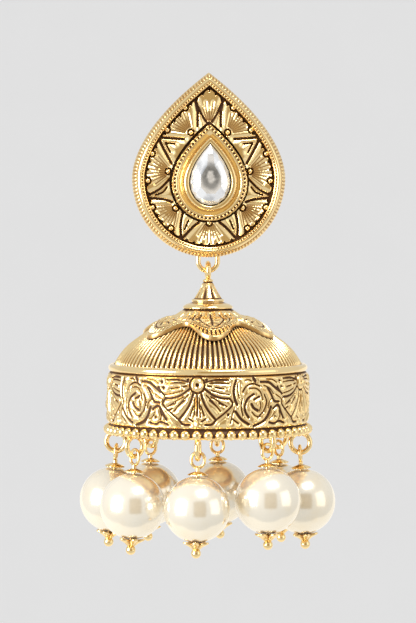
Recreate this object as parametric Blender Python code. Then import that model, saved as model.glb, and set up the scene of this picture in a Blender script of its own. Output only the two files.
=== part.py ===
"""A bell drop earring: a teardrop stud with a crystal, a hanging ring and a ribbed bell with pearl drops.

The origin is where the ear post meets the plate's flat back. The front faces -Y and the drop hangs down -Z.
"""

import math
from collections import namedtuple

import bmesh
import bpy
from mathutils import Matrix, Vector

MM = 0.001
GAP = 0.30 * MM  # clearance between pieces that touch on the real earring
SINK = 0.20 * MM  # how deep a raised ornament is rooted in its ground

Pear = namedtuple("Pear", "half_width above below")
Ring = namedtuple("Ring", "radius height columns waves depth")

# Stud plate: a teardrop, point up, measured from its widest line
PLATE = Pear(9.40 * MM, 12.88 * MM, 9.72 * MM)
POST_ABOVE_WIDEST = 2.48 * MM
PLATE_FLOOR = 0.90 * MM
RIM_RISE = 0.95 * MM
RIM_EDGE = 0.85 * MM
EDGE_ROUND = 0.25 * MM
RIM_SLOPE = 0.35 * MM
RIM_BEVEL = 0.60 * MM
RIM_WIDTH = 1.50 * MM
SHOULDER_POWER = 1.8
APEX_INSET = 1.14
FOOT_INSET = 0.90
PEAR_STEPS = 20
SETTING_STEPS = 14
STONE_STEPS = 6

# Petals and leaves cast on the plate's floor
PETAL_RISE = 0.45 * MM
PETAL_MARGIN = 0.35 * MM
PETALS = 8
FAN_PETAL = ((-0.42, 0.05), (-1.0, 0.80), (-0.55, 0.98), (0.0, 0.90), (0.55, 0.98), (1.0, 0.80), (0.42, 0.05))
SPEAR_LEAF = ((-1.0, 0.04), (0.0, 0.97), (1.0, 0.04))
PETAL_HALF_ANGLE = 19.5
LEAF_HALF_ANGLE = 9.0
RELIEF_TAPER = 0.86
GRAIN_RADIUS = 0.36 * MM
GRAIN_TOP_SHARE = 0.5
GRAIN_PLACE = 0.10  # share of the way from the setting to the rim

# Setting and stone
SETTING = Pear(4.62 * MM, 7.05 * MM, 4.74 * MM)
SETTING_DROP = 0.50 * MM
SETTING_RISE = 1.10 * MM
SETTING_ROUND = 0.11 * MM
SETTING_FLOOR = 0.30 * MM
SETTING_BAND = 0.70 * MM
CHANNEL_INSET = 1.30 * MM
CHANNEL_DEPTH = 0.60 * MM
BEZEL_WALL = 0.36 * MM
BEZEL_RISE = 1.20 * MM
BEZEL_LIP = 0.45 * MM
BEZEL_LIP_THICK = 0.30 * MM
BEZEL_STRAIGHT_SHARE = 0.55
BEZEL_ROUND_SHARE = 0.7
STONE_CROWN = 0.60 * MM
STONE_TABLE_SHARE = 0.55
STONE_EDGE = 0.35 * MM

# Ear post: a flat pad and a straight pin
POST_RADIUS = 0.45 * MM
POST_LENGTH = 10.5 * MM
POST_TIP = 0.40 * MM
POST_TIP_SHARE = 0.55
PAD_RADIUS = 2.50 * MM
PAD_THICK = 0.50 * MM
POST_SIDES = 14

# Hanging ring and the staple that carries it behind the plate
RING_WIRE = 0.30 * MM
RING_STANDOFF = 0.35 * MM  # from the plate's back
RING_HALF_WIDTH = 1.20 * MM
RING_HALF_HEIGHT = 1.60 * MM
RING_BELOW_PLATE = 1.70 * MM  # the ring's lowest wire centre, below the plate's foot
STAPLE_WIRE = 0.30 * MM
STAPLE_RISE = 1.95 * MM

# Bell drop; heights are above the centre of the bead row
EYE_WIRE = 0.33 * MM
DROP_TURN = -11.0  # degrees; turns flowers and pearls about the bell's axis
FINIAL_RISE = 3.95 * MM  # from the finial's underside to the hinge
FINIAL = (  # radius, share of the rise
    (0.45 * MM, 0.76),
    (0.62 * MM, 0.70),
    (0.55 * MM, 0.63),
    (1.00 * MM, 0.44),
    (1.68 * MM, 0.25),
    (1.92 * MM, 0.20),
    (1.92 * MM, 0.15),
    (2.60 * MM, 0.11),
    (2.98 * MM, 0.06),
    (2.75 * MM, 0.00),
)
FINIAL_COLUMNS = 16
CONE_FLUTES = 8
CONE_FLUTE_DEPTH = 0.14
STEM_RADIUS = 0.60 * MM
RIVET_RADIUS = 1.60 * MM
RIVET_THICK = 0.50 * MM
RIVET_ROUND_SHARE = 0.7

CAP_EDGE_RADIUS = 6.50 * MM
CAP_LOBES = 6
CAP_LOBE_DEPTH = 0.18
CAP_THICK = 0.40 * MM
CAP_COLUMNS = 24

DOME_RADIUS = 13.15 * MM
DOME_SPAN = 0.8745  # the dome's foot, as a share of its radius
DOME_FOOT_HEIGHT = 8.08 * MM
CROWN_DIP = 0.40 * MM  # how far the flat crown lies below the dome's full height
RIBS = 104
RIB_DEPTH = 0.20 * MM
RIBS_UNDER_CAP = 1.40 * MM
PLAIN_CROWN_EDGE = 0.25 * MM  # between the plain crown and the ribs
WALL = 0.75 * MM
SHOULDER_THICK = 1.05 * MM  # where the dome meets the band, inside
INSIDE_SHARES = (0.80, 0.52)  # of the dome's foot radius
COLLAR_BELOW_DOME = 0.33 * MM
COLLAR_TUBE = 0.45 * MM
COLLAR_OUTSET = 0.28 * MM  # from the dome's foot
COLLAR_GROOVE = 0.12 * MM
BAND_OUTSET = 0.60 * MM  # from the dome's foot
BAND_BULGE = 0.20 * MM
BAND_BELOW_COLLAR = 0.85 * MM
BAND_FOOT = 0.95 * MM
BAND_GROOVE = 0.25 * MM
BEADS = 56
BEAD_RADIUS = 0.60 * MM
BEAD_VALLEY = 0.36 * MM
BEAD_OUTSET = 0.20 * MM  # from the band
LIP_WIDTH = 1.10 * MM
LIP_ROUND = 0.20 * MM
LIP_HEIGHT = 0.90 * MM
BELL_COLUMNS = 36

# Flowers and scrolls raised on the band
FLOWERS = 5
FLOWER_RISE = 0.32 * MM
FLOWER_BOSS = 0.72 * MM
BOSS_RISE = 0.48 * MM
BOSS_TOP_SHARE = 0.7
CREST_LEAST = 0.55  # of the rise, where a ridge is narrowest
FLOWER_BELOW_BAND_TOP = 1.20 * MM
FLOWER_PETALS = 7
PETAL_LENGTH = 4.30 * MM
PETAL_WIDTH = 1.15 * MM
PETAL_SECTIONS = ((0.26, 0.4), (0.70, 1.0), (0.97, 0.45))  # shares of the length and width
FAN_SPREAD = 150.0
SCROLL_RADIUS = 1.35 * MM
SCROLL_SIDE = 5.60 * MM
SCROLL_HEIGHT = 3.30 * MM
SCROLL_WIDTH = 0.62 * MM
SCROLL_START = -110.0
SCROLL_SWEEP = 320.0
SCROLL_CLOSING = 0.62
SCROLL_STRETCH = 1.15
SCROLL_THINNING = 0.45
SCROLL_STEPS = 7

# Rim rings and pearl drops
LOOP_INSET = 0.90 * MM  # from the bead row
LOOP_RADIUS = 1.20 * MM
LOOP_WIRE = 0.31 * MM
LOOP_DROP = 2.28 * MM  # the loop's lowest wire centre, below the rim's underside
PIN_WIRE = 0.20 * MM
PIN_EYE_HALF_WIDTH = 0.80 * MM
PIN_EYE_HALF_HEIGHT = 0.92 * MM
PIN_RADIUS = 0.27 * MM
PIN_BALL = 0.60 * MM
EYE_TO_DISC = 0.20 * MM
CUP_TO_BALL = 0.10 * MM
DISC_RADIUS = 1.25 * MM
DISC_THICK = 0.30 * MM
PEARL_SHARE = 0.3042  # of the dome's radius, so that eight fit round the rim
CUP_THICK = 0.32 * MM
CUP_HALF_ANGLE = 22.0
CUP_PETALS = 5
CUP_PETAL_DEPTH = 0.25
PEARL_SIDES = 12
PEARL_ROWS = 8
TRIM_SIDES = 10

Hang = namedtuple("Hang", "place outward sideways lift")
HANGS = (  # place: turns of 45 degrees from the front; leans in degrees; lift of the loop
    Hang(0, 2.0, 1.0, 0.0),
    Hang(1, 3.0, 2.0, 0.80 * MM),
    Hang(2, 3.0, -2.0, 0.0),
    Hang(3, 2.0, 0.0, 0.0),
    Hang(4, 2.0, 1.5, 0.0),
    Hang(5, 1.0, -1.5, 0.0),
    Hang(6, 5.0, 2.0, 0.0),
    Hang(7, 4.0, -1.0, 0.0),
)

GOLD = (0.60, 0.36, 0.10)
PALE_STEEL = (0.62, 0.61, 0.58)
PEARL = (0.90, 0.84, 0.72)
CRYSTAL = (0.80, 0.82, 0.84)

# Places that follow from the sizes above
WIDEST_Z = -POST_ABOVE_WIDEST
PLATE_FOOT_Z = WIDEST_Z - PLATE.below
FLOOR_Y = -PLATE_FLOOR
RIM_Y = FLOOR_Y - RIM_RISE
SETTING_Z = WIDEST_Z - SETTING_DROP
SETTING_Y = FLOOR_Y - GAP
RING_Y = RING_WIRE + RING_STANDOFF
HINGE_Z = PLATE_FOOT_Z - RING_BELOW_PLATE
RING_Z = HINGE_Z + RING_HALF_HEIGHT
STAPLE_Z = RING_Z + RING_HALF_HEIGHT - RING_WIRE - GAP - STAPLE_WIRE
EYE_RADIUS = RING_WIRE + GAP + EYE_WIRE
HOLE_RADIUS = STEM_RADIUS + GAP
DOME_FOOT_RADIUS = DOME_RADIUS * DOME_SPAN
DOME_CENTRE = DOME_FOOT_HEIGHT - math.sqrt(DOME_RADIUS**2 - DOME_FOOT_RADIUS**2)
CROWN_HEIGHT = DOME_CENTRE + DOME_RADIUS - CROWN_DIP
FINIAL_FOOT = CROWN_HEIGHT + GAP + CAP_THICK + GAP
BEAD_ROW_Z = HINGE_Z - FINIAL_RISE - FINIAL_FOOT
COLLAR_HEIGHT = DOME_FOOT_HEIGHT - COLLAR_BELOW_DOME
COLLAR_RADIUS = DOME_FOOT_RADIUS + COLLAR_OUTSET
BAND_TOP = COLLAR_HEIGHT - BAND_BELOW_COLLAR
BAND_RADIUS = DOME_FOOT_RADIUS + BAND_OUTSET
BEAD_CIRCLE = BAND_RADIUS + BEAD_OUTSET
FLOWER_HEIGHT = BAND_TOP - FLOWER_BELOW_BAND_TOP
LOOP_CIRCLE = BEAD_CIRCLE - LOOP_INSET
PEARL_RADIUS = DOME_RADIUS * PEARL_SHARE
DROP_AXIS = Vector((0.0, RING_Y, 0.0))
PIN_BORE = PIN_RADIUS + GAP


def empty_scene():
    for old in list(bpy.data.objects):
        bpy.data.objects.remove(old)


def new_collection(name):
    made = bpy.data.collections.new(name)
    bpy.context.scene.collection.children.link(made)
    return made


def new_material(name, colour, roughness, metallic):
    made = bpy.data.materials.new(name)
    made.use_nodes = True
    shader = made.node_tree.nodes["Principled BSDF"]
    shader.inputs["Base Color"].default_value = (*colour, 1.0)
    shader.inputs["Roughness"].default_value = roughness
    shader.inputs["Metallic"].default_value = metallic
    return made


def mesh_of(bm, name):
    """Closes a bmesh into a mesh whose faces point outwards."""
    bmesh.ops.recalc_face_normals(bm, faces=bm.faces)
    mesh = bpy.data.meshes.new(name)
    bm.to_mesh(mesh)
    bm.free()
    return mesh


def add_object(name, data, place, finish=None):
    made = bpy.data.objects.new(name, data)
    place.objects.link(made)
    if finish:
        data.materials.clear()
        data.materials.append(finish)
    if isinstance(data, bpy.types.Mesh):
        data.shade_smooth()
        data.set_sharp_from_angle(angle=math.radians(40))
    return made


def hang_on(child, carrier):
    """Parents a piece and keeps it where it stands in the world."""
    bpy.context.view_layer.update()
    placed = child.matrix_world.copy()
    child.parent = carrier
    child.matrix_parent_inverse = carrier.matrix_world.inverted()
    child.matrix_world = placed


def circle_ring(bm, ring):
    """The points of one ring of a turned shape about Z.

    Waves draw the radius in between their crests, and a height may be a rule on the radius.
    """
    made = bmesh.ops.create_circle(bm, segments=ring.columns, radius=ring.radius)["verts"]
    for point in made:
        turn = math.atan2(point.co.x, point.co.y)
        point.co *= 1 - ring.depth * (0.5 - 0.5 * math.cos(ring.waves * turn))
        point.co.z = ring.height(point.co.length) if callable(ring.height) else ring.height
    return made


def edge_between(bm, one, other):
    return bm.edges.get((one, other)) or bm.edges.new((one, other))


def loop_edges(bm, points):
    return [edge_between(bm, *pair) for pair in zip(points, points[1:] + points[:1])]


def skin(bm, one, other):
    """Faces between two rings of points: four-sided where their counts match, else bridged."""
    if len(one) != len(other):
        bmesh.ops.bridge_loops(bm, edges=loop_edges(bm, one) + loop_edges(bm, other))
        return
    for index in range(len(one)):
        bm.faces.new((one[index - 1], one[index], other[index], other[index - 1]))


def loft(bm, rings, closed):
    """Skins each ring of points to the next, and the last to the first or both ends with caps."""
    for one, other in zip(rings, rings[1:]):
        skin(bm, one, other)
    if closed:
        skin(bm, rings[-1], rings[0])
        return
    for end in (rings[0], rings[-1]):
        bm.faces.new(end)


def turned(name, rings, closed):
    """A turned solid, as a mesh about the Z axis."""
    bm = bmesh.new()
    loft(bm, [circle_ring(bm, ring) for ring in rings], closed)
    return mesh_of(bm, name)


def plain(radius, height, columns):
    return Ring(radius, height, columns, 0, 0.0)


def inset(pear, by):
    return Pear(pear.half_width - by, pear.above - by * APEX_INSET, pear.below - by * FOOT_INSET)


def pear_point(pear, turn):
    """The outline's point at a turn in degrees from its apex, clockwise from the front."""
    turn = (turn + 180.0) % 360.0 - 180.0
    side = math.copysign(1.0, turn) if turn else 0.0
    share = abs(turn) / 90.0
    if share <= 1.0:
        height = 1 - share**1.15
        return Vector((side * pear.half_width * (1 - height**SHOULDER_POWER), 0, pear.above * height))
    angle = math.radians(abs(turn) - 90.0)
    return Vector((side * pear.half_width * math.cos(angle), 0, -pear.below * math.sin(angle)))


def pear_ring(bm, pear, y, z, steps):
    """The points of a teardrop at depth y, with its widest line at height z."""
    turns = [180.0 * step / steps for step in range(2 * steps)]
    return [bm.verts.new(pear_point(pear, turn) + Vector((0, y, z))) for turn in turns]


def pear_solid(name, rings, steps=PEAR_STEPS):
    """A solid through teardrop sections, given as outline, depth and height."""
    bm = bmesh.new()
    loft(bm, [pear_ring(bm, *ring, steps) for ring in rings], False)
    return mesh_of(bm, name)


def wire(name, points, radius, place, closed=False, resolution=1):
    """A round wire along the points, as a mesh object; resolution 1 gives six sides."""
    curve = bpy.data.curves.new(name, "CURVE")
    curve.dimensions = "3D"
    curve.bevel_depth = radius
    curve.bevel_resolution = resolution
    curve.use_fill_caps = not closed
    spline = curve.splines.new("POLY")
    spline.points.add(len(points) - 1)
    for control, point in zip(spline.points, points):
        control.co = (*point, 1.0)
    spline.use_cyclic_u = closed
    drawn = add_object(name + "_line", curve, place)
    bpy.context.view_layer.update()
    graph = bpy.context.evaluated_depsgraph_get()
    mesh = bpy.data.meshes.new_from_object(drawn.evaluated_get(graph))
    mesh.name = name
    bm = bmesh.new()
    bm.from_mesh(mesh)
    bmesh.ops.remove_doubles(bm, verts=bm.verts, dist=1e-6)
    bm.to_mesh(mesh)
    bm.free()
    placed = drawn.matrix_world.copy()
    bpy.data.objects.remove(drawn)
    made = add_object(name, mesh, place)
    made.matrix_world = placed
    return made


def as_helper(helper):
    helper.hide_render = True
    helper.display_type = "WIRE"


def unite(body, *added):
    """Joins closed shapes to a body with a Boolean union each."""
    for other in added:
        as_helper(other)
        union = body.modifiers.new("join_" + other.name, "BOOLEAN")
        union.operation = "UNION"
        union.solver = "EXACT"
        union.object = other


def plate_floor_point(turn, share):
    """A point on the plate's floor, from the setting's edge at share 0 to the rim's foot at share 1."""
    outer = pear_point(inset(PLATE, RIM_WIDTH + PETAL_MARGIN), turn) + Vector((0, 0, WIDEST_Z))
    inner = pear_point(inset(SETTING, -PETAL_MARGIN), turn) + Vector((0, 0, SETTING_Z))
    return inner.lerp(outer, share)


def raised_shape(bm, outline):
    """A low relief on the floor: an outline rooted in the plate, raised and drawn in towards its top."""
    base = [bm.verts.new(Vector((p.x, FLOOR_Y + SINK, p.z))) for p in outline]
    face = bm.faces.new(base)
    top = bmesh.ops.extrude_face_region(bm, geom=[face])["geom"]
    points = [item for item in top if isinstance(item, bmesh.types.BMVert)]
    middle = sum((p.co for p in points), Vector()) / len(points)
    for point in points:
        point.co = middle.lerp(point.co, RELIEF_TAPER)
        point.co.y = FLOOR_Y - PETAL_RISE


def stud(bm, sides, radius, top_share, height, stand):
    """A low round stud that narrows towards its top."""
    top = radius * top_share
    bmesh.ops.create_cone(
        bm, cap_ends=True, segments=sides, radius1=radius, radius2=top, depth=height, matrix=stand
    )


def plate_relief(place):
    """The fan petals round the setting and the spear leaves between them."""
    bm = bmesh.new()
    for petal in range(PETALS):
        turn = 360.0 * petal / PETALS
        middle = turn + 180.0 / PETALS
        fan = [plate_floor_point(turn + side * PETAL_HALF_ANGLE, share) for side, share in FAN_PETAL]
        spear = [plate_floor_point(middle + side * LEAF_HALF_ANGLE, share) for side, share in SPEAR_LEAF]
        raised_shape(bm, fan)
        raised_shape(bm, spear)
    return add_object("plate_petals", mesh_of(bm, "plate_petals"), place)


def plate_grains(place):
    """A grain at the root of each petal but the top one."""
    bm = bmesh.new()
    for petal in range(1, PETALS):
        seat = plate_floor_point(360.0 * petal / PETALS, GRAIN_PLACE)
        height = GRAIN_RADIUS + PETAL_RISE + SINK
        facing = Matrix.Rotation(math.pi / 2, 4, "X")
        stand = Matrix.Translation((seat.x, FLOOR_Y + SINK - height / 2, seat.z)) @ facing
        stud(bm, 8, GRAIN_RADIUS, GRAIN_TOP_SHARE, height, stand)
    return add_object("plate_grains", mesh_of(bm, "plate_grains"), place)


def staple_points():
    """A U of wire: two legs from the plate's back and a half-round bow behind the ring."""
    reach = RING_Y + RING_WIRE
    bow = STAPLE_RISE / 2
    points = [Vector((0, -PLATE_FLOOR / 2, STAPLE_Z))]
    for step in range(7):
        angle = math.pi * step / 6 - math.pi / 2
        points.append(Vector((0, reach + bow * math.cos(angle), STAPLE_Z + bow + bow * math.sin(angle))))
    points.append(Vector((0, -PLATE_FLOOR / 2, STAPLE_Z + STAPLE_RISE)))
    return points


def make_stud_plate(parts, helpers, finish):
    edge = inset(PLATE, EDGE_ROUND)
    crest = inset(PLATE, RIM_BEVEL)
    inner_crest = inset(PLATE, RIM_WIDTH - RIM_SLOPE)
    floor_edge = inset(PLATE, RIM_WIDTH)
    rings = (
        (edge, 0.0, WIDEST_Z),
        (PLATE, -EDGE_ROUND, WIDEST_Z),
        (PLATE, -RIM_EDGE, WIDEST_Z),
        (crest, RIM_Y, WIDEST_Z),
        (inner_crest, RIM_Y, WIDEST_Z),
        (floor_edge, FLOOR_Y, WIDEST_Z),
    )
    plate = add_object("stud_plate", pear_solid("stud_plate", rings), parts, finish)
    staple = wire("staple", staple_points(), STAPLE_WIRE, helpers)
    unite(plate, plate_relief(helpers), plate_grains(helpers), staple)
    return plate


def make_setting(parts, finish):
    """A cup with a banded edge, a sloping channel and a bezel whose lip holds the stone."""
    top = SETTING_Y - SETTING_RISE
    channel = top + CHANNEL_DEPTH
    bezel = inset(SETTING, CHANNEL_INSET)
    mouth = inset(bezel, BEZEL_WALL + BEZEL_LIP)
    seat = inset(bezel, BEZEL_WALL)
    seat_floor = SETTING_Y - SETTING_FLOOR
    lip_under = channel - BEZEL_RISE + BEZEL_LIP_THICK
    rings = (
        (SETTING, SETTING_Y, SETTING_Z),
        (SETTING, top + SETTING_ROUND, SETTING_Z),
        (inset(SETTING, SETTING_ROUND), top, SETTING_Z),
        (inset(SETTING, SETTING_BAND), top, SETTING_Z),
        (bezel, channel, SETTING_Z),
        (bezel, channel - BEZEL_RISE * BEZEL_STRAIGHT_SHARE, SETTING_Z),
        (inset(bezel, BEZEL_WALL * BEZEL_ROUND_SHARE), channel - BEZEL_RISE, SETTING_Z),
        (mouth, channel - BEZEL_RISE, SETTING_Z),
        (mouth, lip_under, SETTING_Z),
        (seat, lip_under, SETTING_Z),
        (seat, seat_floor, SETTING_Z),
    )
    return add_object("stone_setting", pear_solid("stone_setting", rings, SETTING_STEPS), parts, finish)


def stone_shapes():
    """The girdle outline, and the depths of the stone's back, girdle, shoulder and table."""
    bezel = inset(SETTING, CHANNEL_INSET)
    girdle = inset(bezel, BEZEL_WALL + GAP)
    back = SETTING_Y - SETTING_FLOOR - GAP
    lip_under = SETTING_Y - SETTING_RISE + CHANNEL_DEPTH - BEZEL_RISE + BEZEL_LIP_THICK
    girdle_front = lip_under + GAP
    return girdle, back, girdle_front


def make_stone(parts, finish):
    girdle, back, front = stone_shapes()
    mouth = inset(inset(SETTING, CHANNEL_INSET), BEZEL_WALL + BEZEL_LIP)
    crown = inset(mouth, GAP)
    shoulder = front - GAP - STONE_EDGE
    table = Pear(*(size * STONE_TABLE_SHARE for size in girdle))
    rings = (
        (inset(girdle, STONE_EDGE), back, SETTING_Z),
        (girdle, back - STONE_EDGE / 2, SETTING_Z),
        (girdle, front, SETTING_Z),
        (crown, front - STONE_EDGE / 3, SETTING_Z),
        (crown, shoulder, SETTING_Z),
        (table, shoulder - STONE_CROWN, SETTING_Z),
    )
    stone = add_object("centre_stone", pear_solid("centre_stone", rings, STONE_STEPS), parts, finish)
    stone.data.set_sharp_from_angle(angle=math.radians(5))
    return stone


def make_post(parts, finish):
    """A pad behind the plate and a pin with a rounded tip, along +Y."""
    rings = (
        plain(PAD_RADIUS, GAP, POST_SIDES),
        plain(PAD_RADIUS, GAP + PAD_THICK, POST_SIDES),
        plain(POST_RADIUS, GAP + PAD_THICK, POST_SIDES),
        plain(POST_RADIUS, POST_LENGTH - POST_TIP, POST_SIDES),
        plain(POST_RADIUS * POST_TIP_SHARE, POST_LENGTH, POST_SIDES),
    )
    post = add_object("ear_post", turned("ear_post", rings, False), parts, finish)
    post.rotation_euler = (-math.pi / 2, 0, 0)
    return post


def oval_points(half_width, half_height, centre, across, up, count):
    """Points around an oval in the plane of two directions."""
    turns = [2 * math.pi * step / count for step in range(count)]
    return [centre + across * half_width * math.sin(t) - up * half_height * math.cos(t) for t in turns]


def make_hanging_ring(parts, finish, carrier):
    up = Vector((0, 0, 1))
    centre = Vector((0, RING_Y, RING_Z)) - carrier.location
    points = oval_points(RING_HALF_WIDTH, RING_HALF_HEIGHT, centre, Vector((1, 0, 0)), up, 16)
    ring = wire("hanging_ring", points, RING_WIRE, parts, closed=True)
    ring.data.materials.append(finish)
    ring.location = carrier.location
    return ring


def make_finial(parts, helpers, finish):
    """The drop's eye, neck, fluted cone and mouldings, and the riveted stem that holds cap and bell."""
    inside = dome_height(HOLE_RADIUS, -WALL) - GAP
    rings = []
    for index, (radius, share) in enumerate(FINIAL):
        fluted = 2 < index < 5
        height = FINIAL_FOOT + FINIAL_RISE * share
        rings.append(Ring(radius, height, FINIAL_COLUMNS, CONE_FLUTES * fluted, CONE_FLUTE_DEPTH))
    rings += [
        plain(STEM_RADIUS, FINIAL_FOOT, FINIAL_COLUMNS),
        plain(STEM_RADIUS, inside, FINIAL_COLUMNS),
        plain(RIVET_RADIUS, inside, FINIAL_COLUMNS),
        plain(RIVET_RADIUS * RIVET_ROUND_SHARE, inside - RIVET_THICK, FINIAL_COLUMNS),
    ]
    finial = add_object("drop_finial", turned("drop_finial", rings, False), parts, finish)
    finial.location = DROP_AXIS + Vector((0, 0, BEAD_ROW_Z))
    centre = Vector((0, RING_Y, HINGE_Z))
    loop = oval_points(EYE_RADIUS, EYE_RADIUS, centre, Vector((0, 1, 0)), Vector((0, 0, 1)), 14)
    eye = wire("finial_eye", loop, EYE_WIRE, helpers, closed=True)
    unite(finial, eye)
    return finial


def dome_height(radius, offset=0.0):
    """The height of the dome at a radius, or of a face at an offset from it; its crown is flat."""
    return min(DOME_CENTRE + math.sqrt((DOME_RADIUS + offset) ** 2 - radius**2), CROWN_HEIGHT + offset)


def cap_height(radius):
    """The outer face of the flower cap, one gap and one wall above the dome."""
    return dome_height(radius, GAP + CAP_THICK)


def cap_underside(radius):
    return cap_height(radius) - CAP_THICK


def crown_radius(offset=0.0):
    """Where the dome, or a face at an offset from it, turns into its flat crown."""
    return math.sqrt((DOME_RADIUS + offset) ** 2 - (CROWN_HEIGHT + offset - DOME_CENTRE) ** 2)


def make_flower_cap(parts, finish):
    top = crown_radius(GAP + CAP_THICK)
    outer, inner = [], []
    for share in (1.0, 0.5, 0.0):
        radius = top + (CAP_EDGE_RADIUS - top) * share
        depth = CAP_LOBE_DEPTH * share * share
        outer.append(Ring(radius, cap_height, CAP_COLUMNS, CAP_LOBES, depth))
        inner.append(Ring(radius, cap_underside, CAP_COLUMNS, CAP_LOBES, depth))
    outer.append(plain(HOLE_RADIUS, cap_height, CAP_COLUMNS))
    inner.append(plain(HOLE_RADIUS, cap_underside, CAP_COLUMNS))
    rings = [*outer, *reversed(inner)]
    cap = add_object("flower_cap", turned("flower_cap", rings, True), parts, finish)
    cap.location = DROP_AXIS + Vector((0, 0, BEAD_ROW_Z))
    return cap


def bell_rings():
    """The bell's section, from the hole in its crown down the outside and back up the inside."""
    bead_columns = 2 * BEADS
    rib_columns = 2 * RIBS
    rib_start = CAP_EDGE_RADIUS - RIBS_UNDER_CAP
    rings = []
    for radius in (HOLE_RADIUS, crown_radius(), rib_start - PLAIN_CROWN_EDGE):
        rings.append(plain(radius, dome_height(radius), BELL_COLUMNS))
    for step in range(4):
        low = math.asin(rib_start / DOME_RADIUS)
        high = math.asin(DOME_FOOT_RADIUS / DOME_RADIUS)
        angle = low + (high - low) * step / 3
        radius = DOME_RADIUS * math.sin(angle)
        rings.append(Ring(radius, dome_height(radius), rib_columns, RIBS, RIB_DEPTH / radius))
    foot = dome_height(DOME_FOOT_RADIUS)
    rings.append(plain(DOME_FOOT_RADIUS - COLLAR_GROOVE / 2, foot - COLLAR_GROOVE, BELL_COLUMNS))
    for angle in (50, 0, -50):
        turn = math.radians(angle)
        rings.append(
            plain(
                COLLAR_RADIUS + COLLAR_TUBE * math.cos(turn),
                COLLAR_HEIGHT + COLLAR_TUBE * math.sin(turn),
                BELL_COLUMNS,
            )
        )
    rings.append(plain(COLLAR_RADIUS, BAND_TOP + BAND_GROOVE, BELL_COLUMNS))
    for share in (0.0, 0.5, 1.0):
        bulge = BAND_BULGE * math.sin(math.pi * share)
        rings.append(plain(BAND_RADIUS + bulge, BAND_TOP + (BAND_FOOT - BAND_TOP) * share, BELL_COLUMNS))
    rings.append(plain(BAND_RADIUS - BAND_GROOVE, BAND_FOOT - BAND_GROOVE, BELL_COLUMNS))
    for angle in (115, 40, -35):
        turn = math.radians(angle)
        radius = BEAD_CIRCLE + BEAD_RADIUS * math.cos(turn)
        valley = (BEAD_RADIUS - BEAD_VALLEY) * (1 + math.cos(turn)) / 2 / radius
        rings.append(Ring(radius, BEAD_RADIUS * math.sin(turn), bead_columns, BEADS, valley))
    inside = BAND_RADIUS - WALL
    rings += [
        plain(BEAD_CIRCLE - LIP_ROUND, -BEAD_RADIUS, BELL_COLUMNS),
        plain(BEAD_CIRCLE - LIP_WIDTH, -BEAD_RADIUS, BELL_COLUMNS),
        plain(BEAD_CIRCLE - LIP_WIDTH, LIP_HEIGHT - BEAD_RADIUS, BELL_COLUMNS),
        plain(inside, LIP_HEIGHT, BELL_COLUMNS),
        plain(inside, dome_height(DOME_FOOT_RADIUS) - SHOULDER_THICK, BELL_COLUMNS),
    ]
    inside_radii = [DOME_FOOT_RADIUS * share for share in INSIDE_SHARES]
    for radius in (*inside_radii, crown_radius(-WALL), HOLE_RADIUS):
        rings.append(plain(radius, dome_height(radius, -WALL), BELL_COLUMNS))
    return rings


def band_point(turn, side, height, radius):
    """A point at a distance round the band from a turn in degrees, at a height and radius."""
    angle = math.radians(turn) + side / BAND_RADIUS
    return Vector((radius * math.sin(angle), -radius * math.cos(angle), height))


def ridge(bm, turn, line, widths, rise):
    """A raised ridge on the band along a line of (side, height) points: three corners at each point."""
    sections = []
    for index, (side, height) in enumerate(line):
        before = line[max(index - 1, 0)]
        after = line[min(index + 1, len(line) - 1)]
        along = Vector((after[0] - before[0], after[1] - before[1])).normalized()
        half = widths[index] / 2
        root = BAND_RADIUS - SINK
        fullness = CREST_LEAST + (1 - CREST_LEAST) * widths[index] / max(widths)
        crest = BAND_RADIUS + BAND_BULGE + rise * fullness
        sections.append(
            [
                bm.verts.new(band_point(turn, side - along.y * half, height + along.x * half, root)),
                bm.verts.new(band_point(turn, side, height, crest)),
                bm.verts.new(band_point(turn, side + along.y * half, height - along.x * half, root)),
            ]
        )
    loft(bm, sections, False)


def scroll_line(mirror):
    """A volute that winds in towards its middle, as (side, height) points and widths."""
    line, widths = [], []
    for step in range(SCROLL_STEPS):
        share = step / (SCROLL_STEPS - 1)
        angle = math.radians(SCROLL_START + SCROLL_SWEEP * share)
        reach = SCROLL_RADIUS * (1 - SCROLL_CLOSING * share)
        side = SCROLL_SIDE + reach * math.cos(angle)
        line.append((mirror * side, SCROLL_HEIGHT + reach * SCROLL_STRETCH * math.sin(angle)))
        widths.append(SCROLL_WIDTH * (1 - SCROLL_THINNING * share))
    return line, widths


def band_relief(place):
    """Fan flowers round the band, each with its boss, petals and a scroll at each side."""
    bm = bmesh.new()
    for flower in range(FLOWERS):
        turn = DROP_TURN + 360.0 * flower / FLOWERS
        for petal in range(FLOWER_PETALS):
            lean = math.radians(FAN_SPREAD * (petal / (FLOWER_PETALS - 1) - 0.5))
            fall = min(PETAL_LENGTH, (FLOWER_HEIGHT - BAND_FOOT) / max(math.cos(lean), 0.6))
            line, widths = [], []
            for share, width in PETAL_SECTIONS:
                line.append((fall * share * math.sin(lean), FLOWER_HEIGHT - fall * share * math.cos(lean)))
                widths.append(PETAL_WIDTH * width)
            ridge(bm, turn, line, widths, FLOWER_RISE)
        for mirror in (-1, 1):
            ridge(bm, turn, *scroll_line(mirror), FLOWER_RISE)
    return add_object("band_ornament", mesh_of(bm, "band_ornament"), place)


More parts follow.
